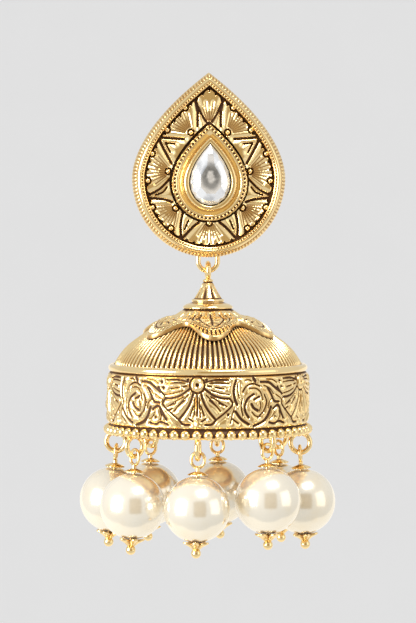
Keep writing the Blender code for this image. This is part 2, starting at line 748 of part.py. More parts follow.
def flower_bosses(place):
    bm = bmesh.new()
    for flower in range(FLOWERS):
        turn = DROP_TURN + 360.0 * flower / FLOWERS
        seat = band_point(turn, 0, FLOWER_HEIGHT, BAND_RADIUS - SINK)
        facing = Matrix.Rotation(math.radians(turn), 4, "Z") @ Matrix.Rotation(math.pi / 2, 4, "X")
        depth = SINK + BAND_BULGE + BOSS_RISE
        stand = Matrix.Translation(seat) @ facing @ Matrix.Translation((0, 0, depth / 2))
        stud(bm, 10, FLOWER_BOSS, BOSS_TOP_SHARE, depth, stand)
    return add_object("flower_bosses", mesh_of(bm, "flower_bosses"), place)


def hang_direction(hang):
    angle = math.radians(DROP_TURN + 45.0 * hang.place)
    return Vector((math.sin(angle), -math.cos(angle), 0))


def loop_bottom(hang):
    """The middle of a rim loop's lowest wire, from the bell's axis at the bead row."""
    return hang_direction(hang) * LOOP_CIRCLE + Vector((0, 0, hang.lift - BEAD_RADIUS - LOOP_DROP))


def rim_loops(helpers):
    made = []
    for index, hang in enumerate(HANGS, 1):
        centre = loop_bottom(hang) + Vector((0, 0, LOOP_RADIUS))
        points = oval_points(LOOP_RADIUS, LOOP_RADIUS, centre, hang_direction(hang), Vector((0, 0, 1)), 10)
        made.append(wire(f"rim_loop_{index}", points, LOOP_WIRE, helpers, closed=True))
    return made


def make_bell(parts, helpers, finish):
    bell = add_object("bell", turned("bell", bell_rings(), True), parts, finish)
    joined = [band_relief(helpers), flower_bosses(helpers), *rim_loops(helpers)]
    for helper in joined:
        hang_on(helper, bell)
    bell.location = DROP_AXIS + Vector((0, 0, BEAD_ROW_Z))
    unite(bell, *joined)
    return bell


# A pearl drop is modelled about Z with its loop's wire at the origin, then hung at each place

EYE_CENTRE = -PIN_EYE_HALF_HEIGHT + LOOP_WIRE + GAP + PIN_WIRE
EYE_FOOT = EYE_CENTRE - PIN_EYE_HALF_HEIGHT
DISC_TOP = EYE_FOOT - PIN_WIRE - EYE_TO_DISC
PEARL_Z = DISC_TOP - DISC_THICK - GAP - PEARL_RADIUS
CUP_INNER = PEARL_RADIUS + GAP
BALL_Z = PEARL_Z - CUP_INNER - CUP_THICK - PIN_BALL - CUP_TO_BALL


def pin_mesh(helpers):
    """The head pin: a ball foot, a straight shank and an eye across the loop."""
    rings = [plain(PIN_RADIUS, EYE_FOOT - PIN_WIRE / 4, TRIM_SIDES)]
    for angle in (60, 5, -55):
        turn = math.radians(angle)
        rings.append(plain(PIN_BALL * math.cos(turn), BALL_Z + PIN_BALL * math.sin(turn), TRIM_SIDES))
    shank = add_object("pin_shank", turned("pin_shank", rings, False), helpers)
    centre = Vector((0, 0, EYE_CENTRE))
    across, up = Vector((1, 0, 0)), Vector((0, 0, 1))
    eye = oval_points(PIN_EYE_HALF_WIDTH, PIN_EYE_HALF_HEIGHT, centre, across, up, TRIM_SIDES)
    loop = wire("pin_eye", eye, PIN_WIRE, helpers, closed=True)
    unite(shank, loop)
    bpy.context.view_layer.update()
    graph = bpy.context.evaluated_depsgraph_get()
    mesh = bpy.data.meshes.new_from_object(shank.evaluated_get(graph))
    as_helper(shank)
    return mesh


def disc_mesh():
    rings = (
        plain(DISC_RADIUS, DISC_TOP, TRIM_SIDES),
        plain(DISC_RADIUS, DISC_TOP - DISC_THICK, TRIM_SIDES),
        plain(PIN_BORE, DISC_TOP - DISC_THICK, TRIM_SIDES),
        plain(PIN_BORE, DISC_TOP, TRIM_SIDES),
    )
    return turned("pearl_disc", rings, True)


def pearl_mesh():
    """A drilled pearl."""
    edge = math.degrees(math.asin(PIN_BORE / PEARL_RADIUS))
    rings = []
    for row in range(PEARL_ROWS + 1):
        angle = math.radians(edge + (180 - 2 * edge) * row / PEARL_ROWS)
        height = PEARL_Z + PEARL_RADIUS * math.cos(angle)
        rings.append(plain(PEARL_RADIUS * math.sin(angle), height, PEARL_SIDES))
    return turned("pearl", rings, True)


def cup_mesh():
    """The petalled cup that hugs the pearl's foot."""
    edge = math.asin(PIN_BORE / CUP_INNER)
    rings = []
    for sphere, angles in ((CUP_INNER, (0, 0.5, 1)), (CUP_INNER + CUP_THICK, (1, 0.5, 0))):
        for share in angles:
            angle = edge + (math.radians(CUP_HALF_ANGLE) - edge) * share
            radius = sphere * math.sin(angle)
            height = PEARL_Z - sphere * math.cos(angle)
            rings.append(Ring(radius, height, TRIM_SIDES, CUP_PETALS, CUP_PETAL_DEPTH * share))
    return turned("pearl_cup", rings, True)


def make_pearl_drops(parts, helpers, finishes, carrier):
    gold, pearl = finishes
    meshes = (
        ("pearl_pin", pin_mesh(helpers), gold),
        ("pearl_disc", disc_mesh(), gold),
        ("pearl", pearl_mesh(), pearl),
        ("pearl_cup", cup_mesh(), gold),
    )
    for index, hang in enumerate(HANGS, 1):
        swivel = bpy.data.objects.new(f"drop_swivel_{index}", None)
        parts.objects.link(swivel)
        turn = Matrix.Rotation(math.radians(DROP_TURN + 45.0 * hang.place), 4, "Z")
        lean = Matrix.Rotation(-math.radians(hang.outward), 4, "X") @ Matrix.Rotation(
            math.radians(hang.sideways), 4, "Y"
        )
        place = DROP_AXIS + Vector((0, 0, BEAD_ROW_Z)) + loop_bottom(hang)
        swivel.matrix_world = Matrix.Translation(place) @ turn @ lean
        hang_on(swivel, carrier)
        for name, mesh, finish in meshes:
            piece = add_object(f"{name}_{index}", mesh, parts, finish)
            piece.parent = swivel


def pivot(name, place, where):
    made = bpy.data.objects.new(name, None)
    where.objects.link(made)
    made.location = place
    return made


def main():
    empty_scene()
    parts = new_collection("bell_drop_earring")
    helpers = new_collection("helpers")
    gold = new_material("antique_gold", GOLD, 0.28, 1.0)
    steel = new_material("post_steel", PALE_STEEL, 0.25, 1.0)
    pearl = new_material("ivory_pearl", PEARL, 0.18, 0.0)
    crystal = new_material("foiled_crystal", CRYSTAL, 0.05, 0.6)

    ring_pivot = pivot("ring_pivot", (0, RING_Y, STAPLE_Z), parts)
    drop_pivot = pivot("drop_pivot", (0, RING_Y, HINGE_Z), parts)
    hang_on(drop_pivot, ring_pivot)

    make_stud_plate(parts, helpers, gold)
    make_setting(parts, gold)
    make_stone(parts, crystal)
    make_post(parts, steel)
    hang_on(make_hanging_ring(parts, gold, ring_pivot), ring_pivot)
    finial = make_finial(parts, helpers, gold)
    cap = make_flower_cap(parts, gold)
    bell = make_bell(parts, helpers, gold)
    for piece in (finial, cap, bell):
        hang_on(piece, drop_pivot)
    make_pearl_drops(parts, helpers, (gold, pearl), drop_pivot)


main()
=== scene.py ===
"""The looks of a bell drop earring: chased antique gold, ivory pearls and a foiled crystal."""

import math

import bmesh
import bpy
import numpy as np
from mathutils import Matrix, Vector


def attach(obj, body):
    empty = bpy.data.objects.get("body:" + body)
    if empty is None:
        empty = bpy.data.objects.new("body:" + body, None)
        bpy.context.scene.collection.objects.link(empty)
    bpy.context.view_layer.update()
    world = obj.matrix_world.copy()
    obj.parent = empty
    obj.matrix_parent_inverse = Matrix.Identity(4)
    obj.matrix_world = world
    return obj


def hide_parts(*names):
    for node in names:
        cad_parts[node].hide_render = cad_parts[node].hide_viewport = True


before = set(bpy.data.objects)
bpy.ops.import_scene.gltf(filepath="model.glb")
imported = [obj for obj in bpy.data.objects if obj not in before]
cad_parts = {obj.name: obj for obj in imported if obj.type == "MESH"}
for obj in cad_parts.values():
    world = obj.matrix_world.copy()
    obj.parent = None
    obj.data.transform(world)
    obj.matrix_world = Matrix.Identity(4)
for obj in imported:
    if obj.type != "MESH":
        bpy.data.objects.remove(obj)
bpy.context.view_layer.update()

MM = 0.001
GAP = 0.30 * MM

# Places and sizes shared with the solids. A teardrop is its half width, and its reach above and below that line.
WIDEST_Z = -2.48 * MM
PLATE = (9.40 * MM, 12.88 * MM, 9.72 * MM)
SETTING = (4.62 * MM, 7.05 * MM, 4.74 * MM)
SETTING_DROP = 0.50 * MM
SETTING_Z = WIDEST_Z - SETTING_DROP
FLOOR_Y = -0.90 * MM
SETTING_Y = FLOOR_Y - GAP
APEX_INSET = 1.14
FOOT_INSET = 0.90
WIRE = 0.30 * MM  # half the thickness of the ring's and the staple's wire
AXIS_Y = 0.65 * MM
HINGE_Z = -13.90 * MM
RING_Z = -12.30 * MM
STAPLE_Z = -11.60 * MM
BEAD_ROW_Z = -33.302 * MM
FINIAL_FOOT = 15.452 * MM
FINIAL_DROP = 0.70 * MM  # how far the mouldings reach below the solid's foot
DOME_RADIUS = 13.15 * MM
DOME_CENTRE = 1.702 * MM
CROWN_HEIGHT = 14.452 * MM
CROWN_DROP = 0.50 * MM  # how much flatter the crown is than the solid's
DOME_FOOT = 11.50 * MM
WALL = 0.75 * MM
STEM_RADIUS = 0.60 * MM
STEM_HOLE = 0.90 * MM
RIBS = 104
RIBS_START = 5.00 * MM
BAND_BULGE = 0.20 * MM
BAND_FOOT = 0.70 * MM
BAND_HEIGHT = 6.32 * MM
FLOWERS = 5
BEADS = 56
BEAD_CIRCLE = 12.30 * MM
BEAD_RADIUS = 0.60 * MM
CAP_EDGE = 8.70 * MM
CAP_LOBES = 6
CAP_LOBE_DEPTH = 0.28
CAP_DOTS = 96
DROP_TURN = -11.0  # degrees
PEARL_RADIUS = 4.00 * MM
LOOP_CIRCLE = 11.40 * MM
LOOP_RADIUS = 1.20 * MM
LOOP_WIRE = 0.31 * MM
LOOP_DROP = 2.88 * MM  # from the bead row to the loop's wire
DROPS = (  # place, outward and sideways lean in degrees, lift of the loop
    (0, 2.0, 1.0, 0.0),
    (1, 3.0, 2.0, 0.80 * MM),
    (2, 3.0, -2.0, 0.0),
    (3, 2.0, 0.0, 0.0),
    (4, 2.0, 1.5, 0.0),
    (5, 1.0, -1.5, 0.0),
    (6, 5.0, 2.0, 0.0),
    (7, 4.0, -1.0, 0.0),
)

BRIGHT_GOLD = (0.99, 0.76, 0.39, 1)
DEEP_GOLD = (0.76, 0.43, 0.13, 1)
RECESS_BROWN = (0.075, 0.028, 0.008, 1)
IVORY = (0.92, 0.885, 0.82, 1)
IVORY_SHADE = (0.90, 0.82, 0.68, 1)


# Finishes


class Value:
    """A node's output; used in an expression it adds the Math nodes."""

    def __init__(self, finish, socket):
        self.finish = finish
        self.socket = socket

    def worked(self, operation, *values):
        return self.finish.node("ShaderNodeMath", {"operation": operation}, dict(enumerate(values)))

    def __add__(self, other):
        return self.worked("ADD", self, other)

    __radd__ = __add__

    def __mul__(self, other):
        return self.worked("MULTIPLY", self, other)

    __rmul__ = __mul__

    def __sub__(self, other):
        return self.worked("SUBTRACT", self, other)

    def __rsub__(self, other):
        return self.worked("SUBTRACT", other, self)

    def between(self, low, high):
        """0 below the low value, 1 above the high one, and a smooth step between them."""
        sockets = {"Value": self, "From Min": low, "From Max": high}
        return self.finish.node("ShaderNodeMapRange", {"interpolation_type": "SMOOTHSTEP"}, sockets)


class Finish:
    """A material and the nodes that draw it."""

    def __init__(self, name, **constants):
        self.material = bpy.data.materials.new(name)
        self.material.use_nodes = True
        self.tree = self.material.node_tree
        self.shader = self.tree.nodes["Principled BSDF"]
        self.feed(**constants)

    def put(self, target, value):
        if isinstance(value, Value):
            self.tree.links.new(value.socket, target)
        else:
            target.default_value = value

    def node(self, kind, settings, sockets, output=0):
        made = self.tree.nodes.new(kind)
        for setting, value in settings.items():
            setattr(made, setting, value)
        for name, value in sockets.items():
            self.put(made.inputs[name], value)
        return Value(self, made.outputs[output])

    def feed(self, **values):
        for name, value in values.items():
            self.put(self.shader.inputs[name.replace("_", " ")], value)

    def place(self):
        return self.node("ShaderNodeTexCoord", {}, {}, "Object")

    def worn(self, name):
        return self.node("ShaderNodeAttribute", {"attribute_name": name}, {}, "Fac")

    def noise(self, place, scale, detail=2.0):
        return self.node("ShaderNodeTexNoise", {}, {"Vector": place, "Scale": scale, "Detail": detail})

    def mix(self, mask, one, other):
        """Colours: the first where the mask is 0, the other where it is 1."""
        made = self.tree.nodes.new("ShaderNodeMix")
        made.data_type = "RGBA"
        for index, value in ((0, mask), (6, one), (7, other)):
            self.put(made.inputs[index], value)
        return Value(self, made.outputs[2])

    def bump(self, height, distance, strength=1.0):
        return self.node("ShaderNodeBump", {}, {"Height": height, "Distance": distance, "Strength": strength})


def antique_gold(name, polish=0.20, tarnish=1.0):
    """Gold plate, bright on its high points and blackened where the patina attribute says."""
    gold = Finish(name)
    place = gold.place()
    patina = gold.worn("patina") * tarnish
    cloud = gold.noise(place, 420.0, 3.0)
    grain = gold.noise(place, 3600.0, 2.0)
    recess = (patina * 1.10 + (cloud - 0.5) * 0.40).between(0.36, 0.86)
    toned = (patina + (cloud - 0.5) * 0.9).between(0.02, 0.70)
    colour = gold.mix(toned, BRIGHT_GOLD, DEEP_GOLD)
    gold.feed(
        Base_Color=gold.mix(recess, colour, RECESS_BROWN),
        Metallic=1 - recess * 0.55,
        Roughness=(grain - 0.5) * 0.10 + recess * 0.34 + polish,
        Normal=gold.bump(grain + cloud * 0.6, 0.02 * MM, 0.55),
    )
    return gold.material


def pearl_finish():
    """Imitation pearl: a half-metallic ivory body under a glossy, slightly warm coat."""
    coat = {"Coat_Weight": 1.0, "Coat_Roughness": 0.08, "Coat_IOR": 1.75, "Coat_Tint": (1.0, 0.965, 0.88, 1)}
    pearl = Finish("ivory_pearl", Metallic=0.64, **coat)
    place = pearl.place()
    haze = pearl.noise(place, 300.0, 3.0)
    pearl.feed(
        Base_Color=pearl.mix(haze.between(0.40, 0.85), IVORY, IVORY_SHADE),
        Roughness=haze * 0.08 + 0.16,
        Normal=pearl.bump(haze, 0.02 * MM, 0.25),
    )
    return pearl.material


def crystal_finish():
    """Clear crystal over silver foil, with a grey ring of painted reflection on its table."""
    crystal = Finish("foiled_crystal", Metallic=0.60, Coat_Weight=1.0, Coat_Roughness=0.02)
    place = crystal.place()
    foil = crystal.noise(place, 700.0, 3.0)
    from_middle = {0: place, 1: (1050, 0, 800), 2: (0, 0, 1.83)}
    centre = crystal.node("ShaderNodeVectorMath", {"operation": "MULTIPLY_ADD"}, from_middle)
    reach = crystal.node("ShaderNodeVectorMath", {"operation": "LENGTH"}, {0: centre}, "Value")
    wavy = reach + (foil - 0.5) * 0.9
    # The grey ring is painted reflection, drawn by distance from the stone's middle; the foil noise mottles it.
    ring = wavy.between(0.35, 0.75) - wavy.between(0.95, 1.55)
    foil_mottle_and_painted_reflection = foil.between(0.45, 0.75) * 0.50 + ring * 0.80
    crystal.feed(
        Base_Color=crystal.mix(foil_mottle_and_painted_reflection, (0.86, 0.87, 0.89, 1), (0.20, 0.21, 0.22, 1)),
        Roughness=foil * 0.10 + 0.08,
        Normal=crystal.bump(foil, 0.03 * MM, 0.25),
    )
    return crystal.material


def post_finish():
    steel = Finish("post_steel", Metallic=1.0)
    place = steel.place()
    drawn = steel.noise(place, 900.0, 2.0)
    steel.feed(
        Base_Color=steel.mix(drawn.between(0.3, 0.8), (0.66, 0.65, 0.62, 1), (0.50, 0.48, 0.45, 1)),
        Roughness=drawn * 0.12 + 0.26,
        Normal=steel.bump(drawn, 0.01 * MM, 0.12),
    )
    return steel.material


GOLD = antique_gold("antique_gold")
POLISHED_GOLD = antique_gold("polished_gold", polish=0.14)
PEARL = pearl_finish()
CRYSTAL = crystal_finish()
STEEL = post_finish()


# Modelling


def new_object(name, data):
    made = bpy.data.objects.new(name, data)
    bpy.context.scene.collection.objects.link(made)
    return made


def new_mesh(bm, name):
    mesh = bpy.data.meshes.new(name)
    bm.to_mesh(mesh)
    bm.free()
    return mesh


def add_piece(name, mesh, body, nodes, finish, flat=False):
    """Puts a finished mesh on its body in place of its solids."""
    piece = new_object(name, mesh)
    mesh.materials.append(finish)
    if not flat:
        mesh.shade_smooth()
        mesh.set_sharp_from_angle(angle=math.radians(50))
    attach(piece, body)
    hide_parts(*nodes)
    return piece


def start_shape():
    bm = bmesh.new()
    bm.verts.layers.float.new("patina")
    return bm


def stain(bm, points, value):
    layer = bm.verts.layers.float["patina"]
    for point in points:
        point[layer] = value


def finished(bm, name, join=1e-7):
    """Closes a shape's seams and turns its faces outwards."""
    bmesh.ops.remove_doubles(bm, verts=bm.verts, dist=join)
    bmesh.ops.recalc_face_normals(bm, faces=bm.faces)
    return new_mesh(bm, name)


def joined(name, *meshes):
    bm = start_shape()
    for mesh in meshes:
        bm.from_mesh(mesh)
        bpy.data.meshes.remove(mesh)
    return new_mesh(bm, name)


def chased(name, columns, rows, surface):
    """A grid laid on a surface: surface takes shares round and along, and gives places and patina."""
    bm = start_shape()
    bmesh.ops.create_grid(bm, x_segments=columns, y_segments=rows, size=0.5)
    sheet = new_mesh(bm, name)
    spots = np.empty(len(sheet.vertices) * 3)
    sheet.vertices.foreach_get("co", spots)
    shares = np.clip(spots.reshape(-1, 3)[:, :2] + 0.5, 0, 1)
    x, y, z, patina = np.broadcast_arrays(*surface(shares[:, 0], shares[:, 1]))
    sheet.vertices.foreach_set("co", np.stack([x, y, z], axis=1).astype(np.float32).ravel())
    sheet.attributes["patina"].data.foreach_set("value", patina.astype(np.float32).ravel())
    bm = bmesh.new()
    bm.from_mesh(sheet)
    bpy.data.meshes.remove(sheet)
    return finished(bm, name)


def step(low, high, value):
    """A smooth step from 0 at the low value to 1 at the high one."""
    share = np.clip((value - low) / (high - low), 0, 1)
    return share * share * (3 - 2 * share)


def section(table, along):
    """Each column of a section's table at shares of its way round."""
    columns = np.array(table, float).T
    return [np.interp(along, columns[0], column) for column in columns[1:]]


def round_line(points, steps=5):
    """A smooth curve through a few points."""
    if len(points) < 3:
        return points
    ends = [points[0], *points, points[-1]]
    line = []
    for before, start, end, after in zip(ends, ends[1:], ends[2:], ends[3:]):
        for part in range(steps):
            t = part / steps
            line.append(
                tuple(
                    0.5 * (2 * b + (c - a) * t + (2 * a - 5 * b + 4 * c - d) * t**2 + (3 * b - a - 3 * c + d) * t**3)
                    for a, b, c, d in zip(before, start, end, after)
                )
            )
    return [*line, points[-1]]


def chisel_distance(across, up, cuts):
    """How far each flat place is from the edge of the nearest cut, in millimetres."""
    nearest = np.full(len(across), 9.0)
    for half_width, points in cuts:
        line = round_line(points)
        for (x0, y0), (x1, y1) in zip(line, line[1:] or line):
            dx, dy = x1 - x0, y1 - y0
            share = np.clip(((across - x0) * dx + (up - y0) * dy) / max(dx * dx + dy * dy, 1e-12), 0, 1)
            away = np.hypot(across - x0 - share * dx, up - y0 - share * dy) - half_width
            nearest = np.minimum(nearest, away)
    return nearest


def add_ball(bm, centre, radius, columns=10, rows=7):
    place = Matrix.Translation(centre)
    return bmesh.ops.create_uvsphere(bm, u_segments=columns, v_segments=rows, radius=radius, matrix=place)["verts"]


def spin_round(bm, shape, steps):
    """Turns points and edges once round Z."""
    bmesh.ops.spin(bm, geom=shape, cent=(0, 0, 0), axis=(0, 0, 1), angle=2 * math.pi, steps=steps, use_merge=True)


def add_loop(bm, radius, wire, place, stretch=0.0, steps=36, sides=12):
    """A ring of round wire in its own XZ plane, made longer upwards by the stretch."""
    start = Matrix.Translation((radius, 0, 0)) @ Matrix.Rotation(math.pi / 2, 4, "X")
    circle = bmesh.ops.create_circle(bm, segments=sides, radius=wire, matrix=start)["verts"]
    edges = list({edge for point in circle for edge in point.link_edges})
    for point in circle:
        point.co = (point.co.x, 0, point.co.z)
    before = set(bm.verts) - set(circle)
    spin_round(bm, [*circle, *edges], steps)
    made = [point for point in bm.verts if point not in before]
    for point in made:
        point.co = (point.co.x, point.co.z, point.co.y)
        point.co.z += math.copysign(stretch, point.co.z) if abs(point.co.z) > 1e-7 else 0
    bmesh.ops.transform(bm, matrix=place, verts=made)
    return made


def turn_profile(bm, profile, steps, place=Matrix()):
    """Spins a profile of (radius, height) about Z."""
    before = set(bm.verts)
    points = [bm.verts.new((max(radius, 0.0), 0, height)) for radius, height in profile]
    edges = [bm.edges.new(pair) for pair in zip(points, points[1:])]
    spin_round(bm, [*points, *edges], steps)
    made = [point for point in bm.verts if point not in before]
    bmesh.ops.transform(bm, matrix=place, verts=made)
    return made


# Teardrop outlines


def pear_at(pear, share):
    """The teardrop's outline at a share of the way round from its point, as x and z."""
    turn = (np.asarray(share) + 0.5) % 1.0 - 0.5
    part = np.abs(turn) * 4
    side = np.sign(turn)
    height = 1 - np.minimum(part, 1) ** 1.15
    shoulder_x = pear[0] * (1 - height**1.8)
    angle = np.radians((np.maximum(part, 1) - 1) * 90)
    x = np.where(part <= 1, shoulder_x, pear[0] * np.cos(angle))
    z = np.where(part <= 1, pear[1] * height, -pear[2] * np.sin(angle))
    return side * x, z


def inset(pear, by):
    return pear[0] - by, pear[1] - by * APEX_INSET, pear[2] - by * FOOT_INSET


def even_shares(pear, shares):
    """Shares of the outline's length, turned into the shares that pear_at takes."""
    fine = np.linspace(0, 1, 4001)
    x, z = pear_at(pear, fine)
    length = np.concatenate([[0], np.cumsum(np.hypot(np.diff(x), np.diff(z)))])
    return np.interp(np.asarray(shares) * length[-1], length, fine)


def grains_on(name, pear, by, widest_z, depth, count, radius):
    """A milgrain line: grains at an even pitch along an inset outline."""
    bm = start_shape()
    x, z = pear_at(inset(pear, by), even_shares(inset(pear, by), (np.arange(count) + 0.5) / count))
    for spot in zip(x, z):
        add_ball(bm, Vector((spot[0], depth, spot[1] + widest_z)), radius, 8, 6)
    return finished(bm, name)


# Stud

KNURLS = 140
RIM_SECTION = (  # share, inset, depth, knurl, patina
    (0.00, 1.60, 0.00, 0, 0.3),
    (0.08, 0.30, 0.00, 0, 0.2),
    (0.12, 0.08, 0.14, 0, 0.2),
    (0.17, 0.00, 0.40, 0, 0.1),
    (0.21, 0.00, 0.72, 0, 0.3),
    (0.24, 0.04, 0.86, 1, 0.2),
    (0.30, 0.12, 1.10, 1, 0.0),
    (0.38, 0.30, 1.32, 1, 0.0),
    (0.43, 0.44, 1.42, 1, 0.3),
    (0.46, 0.50, 1.42, 0, 0.7),
    (0.50, 0.56, 1.58, 0, 0.0),
    (0.56, 0.68, 1.76, 0, 0.0),
    (0.62, 0.84, 1.84, 0, 0.0),
    (0.68, 1.00, 1.80, 0, 0.0),
    (0.72, 1.08, 1.68, 0, 0.6),
    (0.77, 1.22, 1.68, 0, 0.6),
    (0.81, 1.28, 1.76, 0, 0.0),
    (0.86, 1.38, 1.70, 0, 0.0),
    (0.91, 1.47, 1.30, 0, 0.3),
    (0.95, 1.54, 0.98, 0, 0.8),
    (1.00, 1.60, 0.00, 0, 0.3),
)


def rim_surface(around, along):
    by, depth, knurl, patina = section(RIM_SECTION, along)
    spot = even_shares(PLATE, around)
    groove = step(0.25, -0.75, np.cos(2 * np.pi * KNURLS * around)) * knurl
    x, z = pear_at(inset(PLATE, (by + groove * 0.13) * MM), spot)
    return x, -depth * MM, z + WIDEST_Z, np.maximum(patina, groove * 0.55)


LEAF_CUTS = (  # half-width and places right of the middle, in millimetres from the widest line
    (0.10, ((1.78, 9.60), (1.45, 8.20), (1.42, 6.30))),
    (0.08, ((1.70, 9.50), (0.95, 7.80), (0.25, 6.70))),
    (0.10, ((6.20, 4.98), (4.80, 4.85), (3.10, 4.75))),
    (0.10, ((6.20, 4.80), (5.50, 3.40), (4.60, 1.75))),
    (0.05, ((5.35, 4.28), (4.20, 4.15))),
    (0.05, ((5.30, 4.15), (4.75, 3.10))),
    (0.08, ((7.40, -2.10), (6.00, -1.30), (4.85, -0.15))),
    (0.10, ((7.40, -2.45), (5.70, -2.60), (4.50, -2.95))),
    (0.05, ((6.60, -2.10), (5.70, -1.75), (5.15, -1.10))),
    (0.10, ((3.45, -7.30), (3.50, -5.70), (3.20, -4.20))),
    (0.10, ((3.30, -7.40), (2.10, -6.10), (1.30, -5.45))),
    (0.05, ((3.00, -6.30), (2.55, -5.20))),
)
PETAL_ROOTS = (  # root of each fan, its middle direction in degrees from upwards, spread, rays
    ((0.0, 6.2), 0.0, 44.0, 5),
    ((2.1, 5.4), 47.0, 78.0, 8),
    ((4.6, 0.75), 84.0, 96.0, 9),
    ((3.8, -3.3), 130.0, 86.0, 9),
    ((0.0, -4.9), 180.0, 76.0, 8),
)
EDGE_NOTCHES = 54
GRANULES = (
    (2.25, 5.55), (5.02, 0.80), (4.12, -3.70), (0.0, -5.52),
    (2.95, 8.55), (7.00, 2.95), (7.52, -0.35), (6.95, -3.60), (4.70, -6.15), (5.15, 5.85),
)  # fmt: skip


def petal_rays():
    """Fine rays on each fan petal, long and short in turn."""
    rays = []
    for (x, z), middle, spread, count in PETAL_ROOTS:
        for ray in range(count):
            angle = math.radians(middle + spread * ((ray + 0.5) / count - 0.5))
            reach = 3.1 if ray % 2 else 2.5
            start = (x + math.sin(angle) * 0.85, z + math.cos(angle) * 0.85)
            end = (x + math.sin(angle) * reach, z + math.cos(angle) * reach)
            rays.append((0.035, (start, end)))
    return rays


def field_surface(around, along):
    """The plate from its back's middle, over its edge, across the petals and in under the setting."""
    spot = even_shares(PLATE, around)
    foot_x, foot_z = pear_at(inset(PLATE, 1.56 * MM), spot)
    edge_x, edge_z = pear_at(inset(SETTING, 0.25 * MM), spot)
    edge_z = edge_z - SETTING_DROP
    back = np.clip(along / 0.05, 0, 1) ** 0.1
    across = np.clip((along - 0.08) / 0.84, 0, 1)
    closing = 1 - np.clip((along - 0.92) / 0.08, 0, 1)
    x = (foot_x + (edge_x - foot_x) * across) * back * closing
    z = (foot_z + (edge_z - foot_z) * across) * back * closing
    right, up = np.abs(x) / MM, z / MM
    leaf = chisel_distance(right, up, LEAF_CUTS)
    ray = chisel_distance(right, up, petal_rays())
    teeth = 0.085 * (1 - np.abs(np.sin(np.pi * EDGE_NOTCHES * around))) ** 3
    margin = step(0.050, 0.010, across - teeth)
    root = step(0.845, 0.90, across)
    granule = np.min([np.hypot(right - one[0], up - one[1]) for one in GRANULES], axis=0)
    cut = np.maximum.reduce([step(0.08, -0.01, leaf), margin, root, step(0.50, 0.38, granule)])
    pillow = 1 - np.exp(-((np.maximum(leaf, 0) / 0.42) ** 2))
    vein = step(0.09, 0.0, ray)
    fold = 1 - np.exp(-((np.maximum(ray, 0) / 0.17) ** 2))
    rise = (0.14 + 0.22 * pillow + 0.16 * fold) * (1 - cut)
    front = step(0.05, 0.08, along) * closing
    patina = np.maximum(cut, vein * 0.66) * front + 0.15 * (1 - front)
    depth = np.where(along < 0.052, 0.03, np.where(along < 0.08, 0.9, 0.9 + rise * front))
    return x, -depth * MM, z + WIDEST_Z, patina


def make_stud():
    rim = joined(
        "plate_rim",
        chased("rim", KNURLS * 6, 52, rim_surface),
        grains_on("rim_grains", PLATE, 1.15 * MM, WIDEST_Z, -1.67 * MM, 150, 0.115 * MM),
    )
    add_piece("plate_rim", rim, "stud", ["stud_plate"], POLISHED_GOLD)
    field = chased("plate_field", 560, 120, field_surface)
    add_piece("plate_field", field, "stud", ["stud_plate"], GOLD)
    bm = start_shape()
    for right, up in GRANULES:
        for side in (-1, 1) if right else (1,):
            centre = Vector((side * right * MM, -1.12 * MM, up * MM + WIDEST_Z))
            add_ball(bm, centre, 0.30 * MM, 14, 9)
    add_piece("plate_granules", finished(bm, "plate_granules"), "stud", ["stud_plate"], GOLD)


SETTING_SECTION = (  # share, inset, height above the seat, patina
    (0.00, 1.66, 0.30, 0.5),
    (0.03, 0.05, 0.00, 0.9),
    (0.10, 0.00, 0.12, 0.8),
    (0.20, 0.00, 0.92, 0.0),
    (0.25, 0.06, 1.06, 0.0),
    (0.29, 0.16, 1.08, 0.0),
    (0.32, 0.20, 0.98, 0.75),
    (0.38, 0.44, 0.98, 0.75),
    (0.41, 0.48, 1.10, 0.0),
    (0.47, 0.62, 1.12, 0.0),
    (0.52, 0.76, 1.06, 0.0),
    (0.60, 1.08, 0.90, 0.0),
    (0.65, 1.22, 0.84, 0.45),
    (0.68, 1.28, 0.86, 0.4),
    (0.73, 1.30, 1.15, 0.0),
    (0.79, 1.38, 1.50, 0.0),
    (0.84, 1.54, 1.66, 0.0),
    (0.89, 1.76, 1.70, 0.0),
    (0.93, 1.98, 1.64, 0.0),
    (0.96, 2.08, 1.45, 0.3),
    (1.00, 1.66, 1.40, 0.9),
)


def setting_surface(around, along):
    by, height, patina = section(SETTING_SECTION, along)
    x, z = pear_at(inset(SETTING, by * MM), even_shares(SETTING, around))
    return x, SETTING_Y - height * MM, z + SETTING_Z, patina


def seat_surface(around, along):
    """The cup's floor and inner wall, closed at its middle."""
    table = ((0.0, 0.0, 0.0), (0.3, 0.97, 0.0), (0.4, 1.0, 0.0), (0.45, 1.0, 0.30), (0.7, 0.6, 0.32), (1.0, 0.0, 0.32))
    scale, height = section(table, along)
    x, z = pear_at(inset(SETTING, 1.60 * MM), around)
    return x * scale, SETTING_Y - height * MM, z * scale + SETTING_Z, 0.6


def make_setting():
    setting = joined(
        "stone_cup",
        chased("cup", 300, 64, setting_surface),
        chased("cup_floor", 120, 12, seat_surface),
        grains_on("cup_grains", SETTING, 0.32 * MM, SETTING_Z, SETTING_Y - 1.0 * MM, 62, 0.145 * MM),
    )
    add_piece("stone_cup", setting, "stud", ["stone_setting"], POLISHED_GOLD)


def facet_ring(bm, pear, depth, count, shift):
    """A ring of points on a teardrop, turned by a share of one step."""
    made = bmesh.ops.create_circle(bm, segments=count, radius=1.0)["verts"]
    x, z = pear_at(pear, (np.arange(count) + shift) / count)
    for point, right, up in zip(made, x, z):
        point.co = (right, depth, up + SETTING_Z)
    return [edge for edge in bm.edges if all(end in made for end in edge.verts)], made


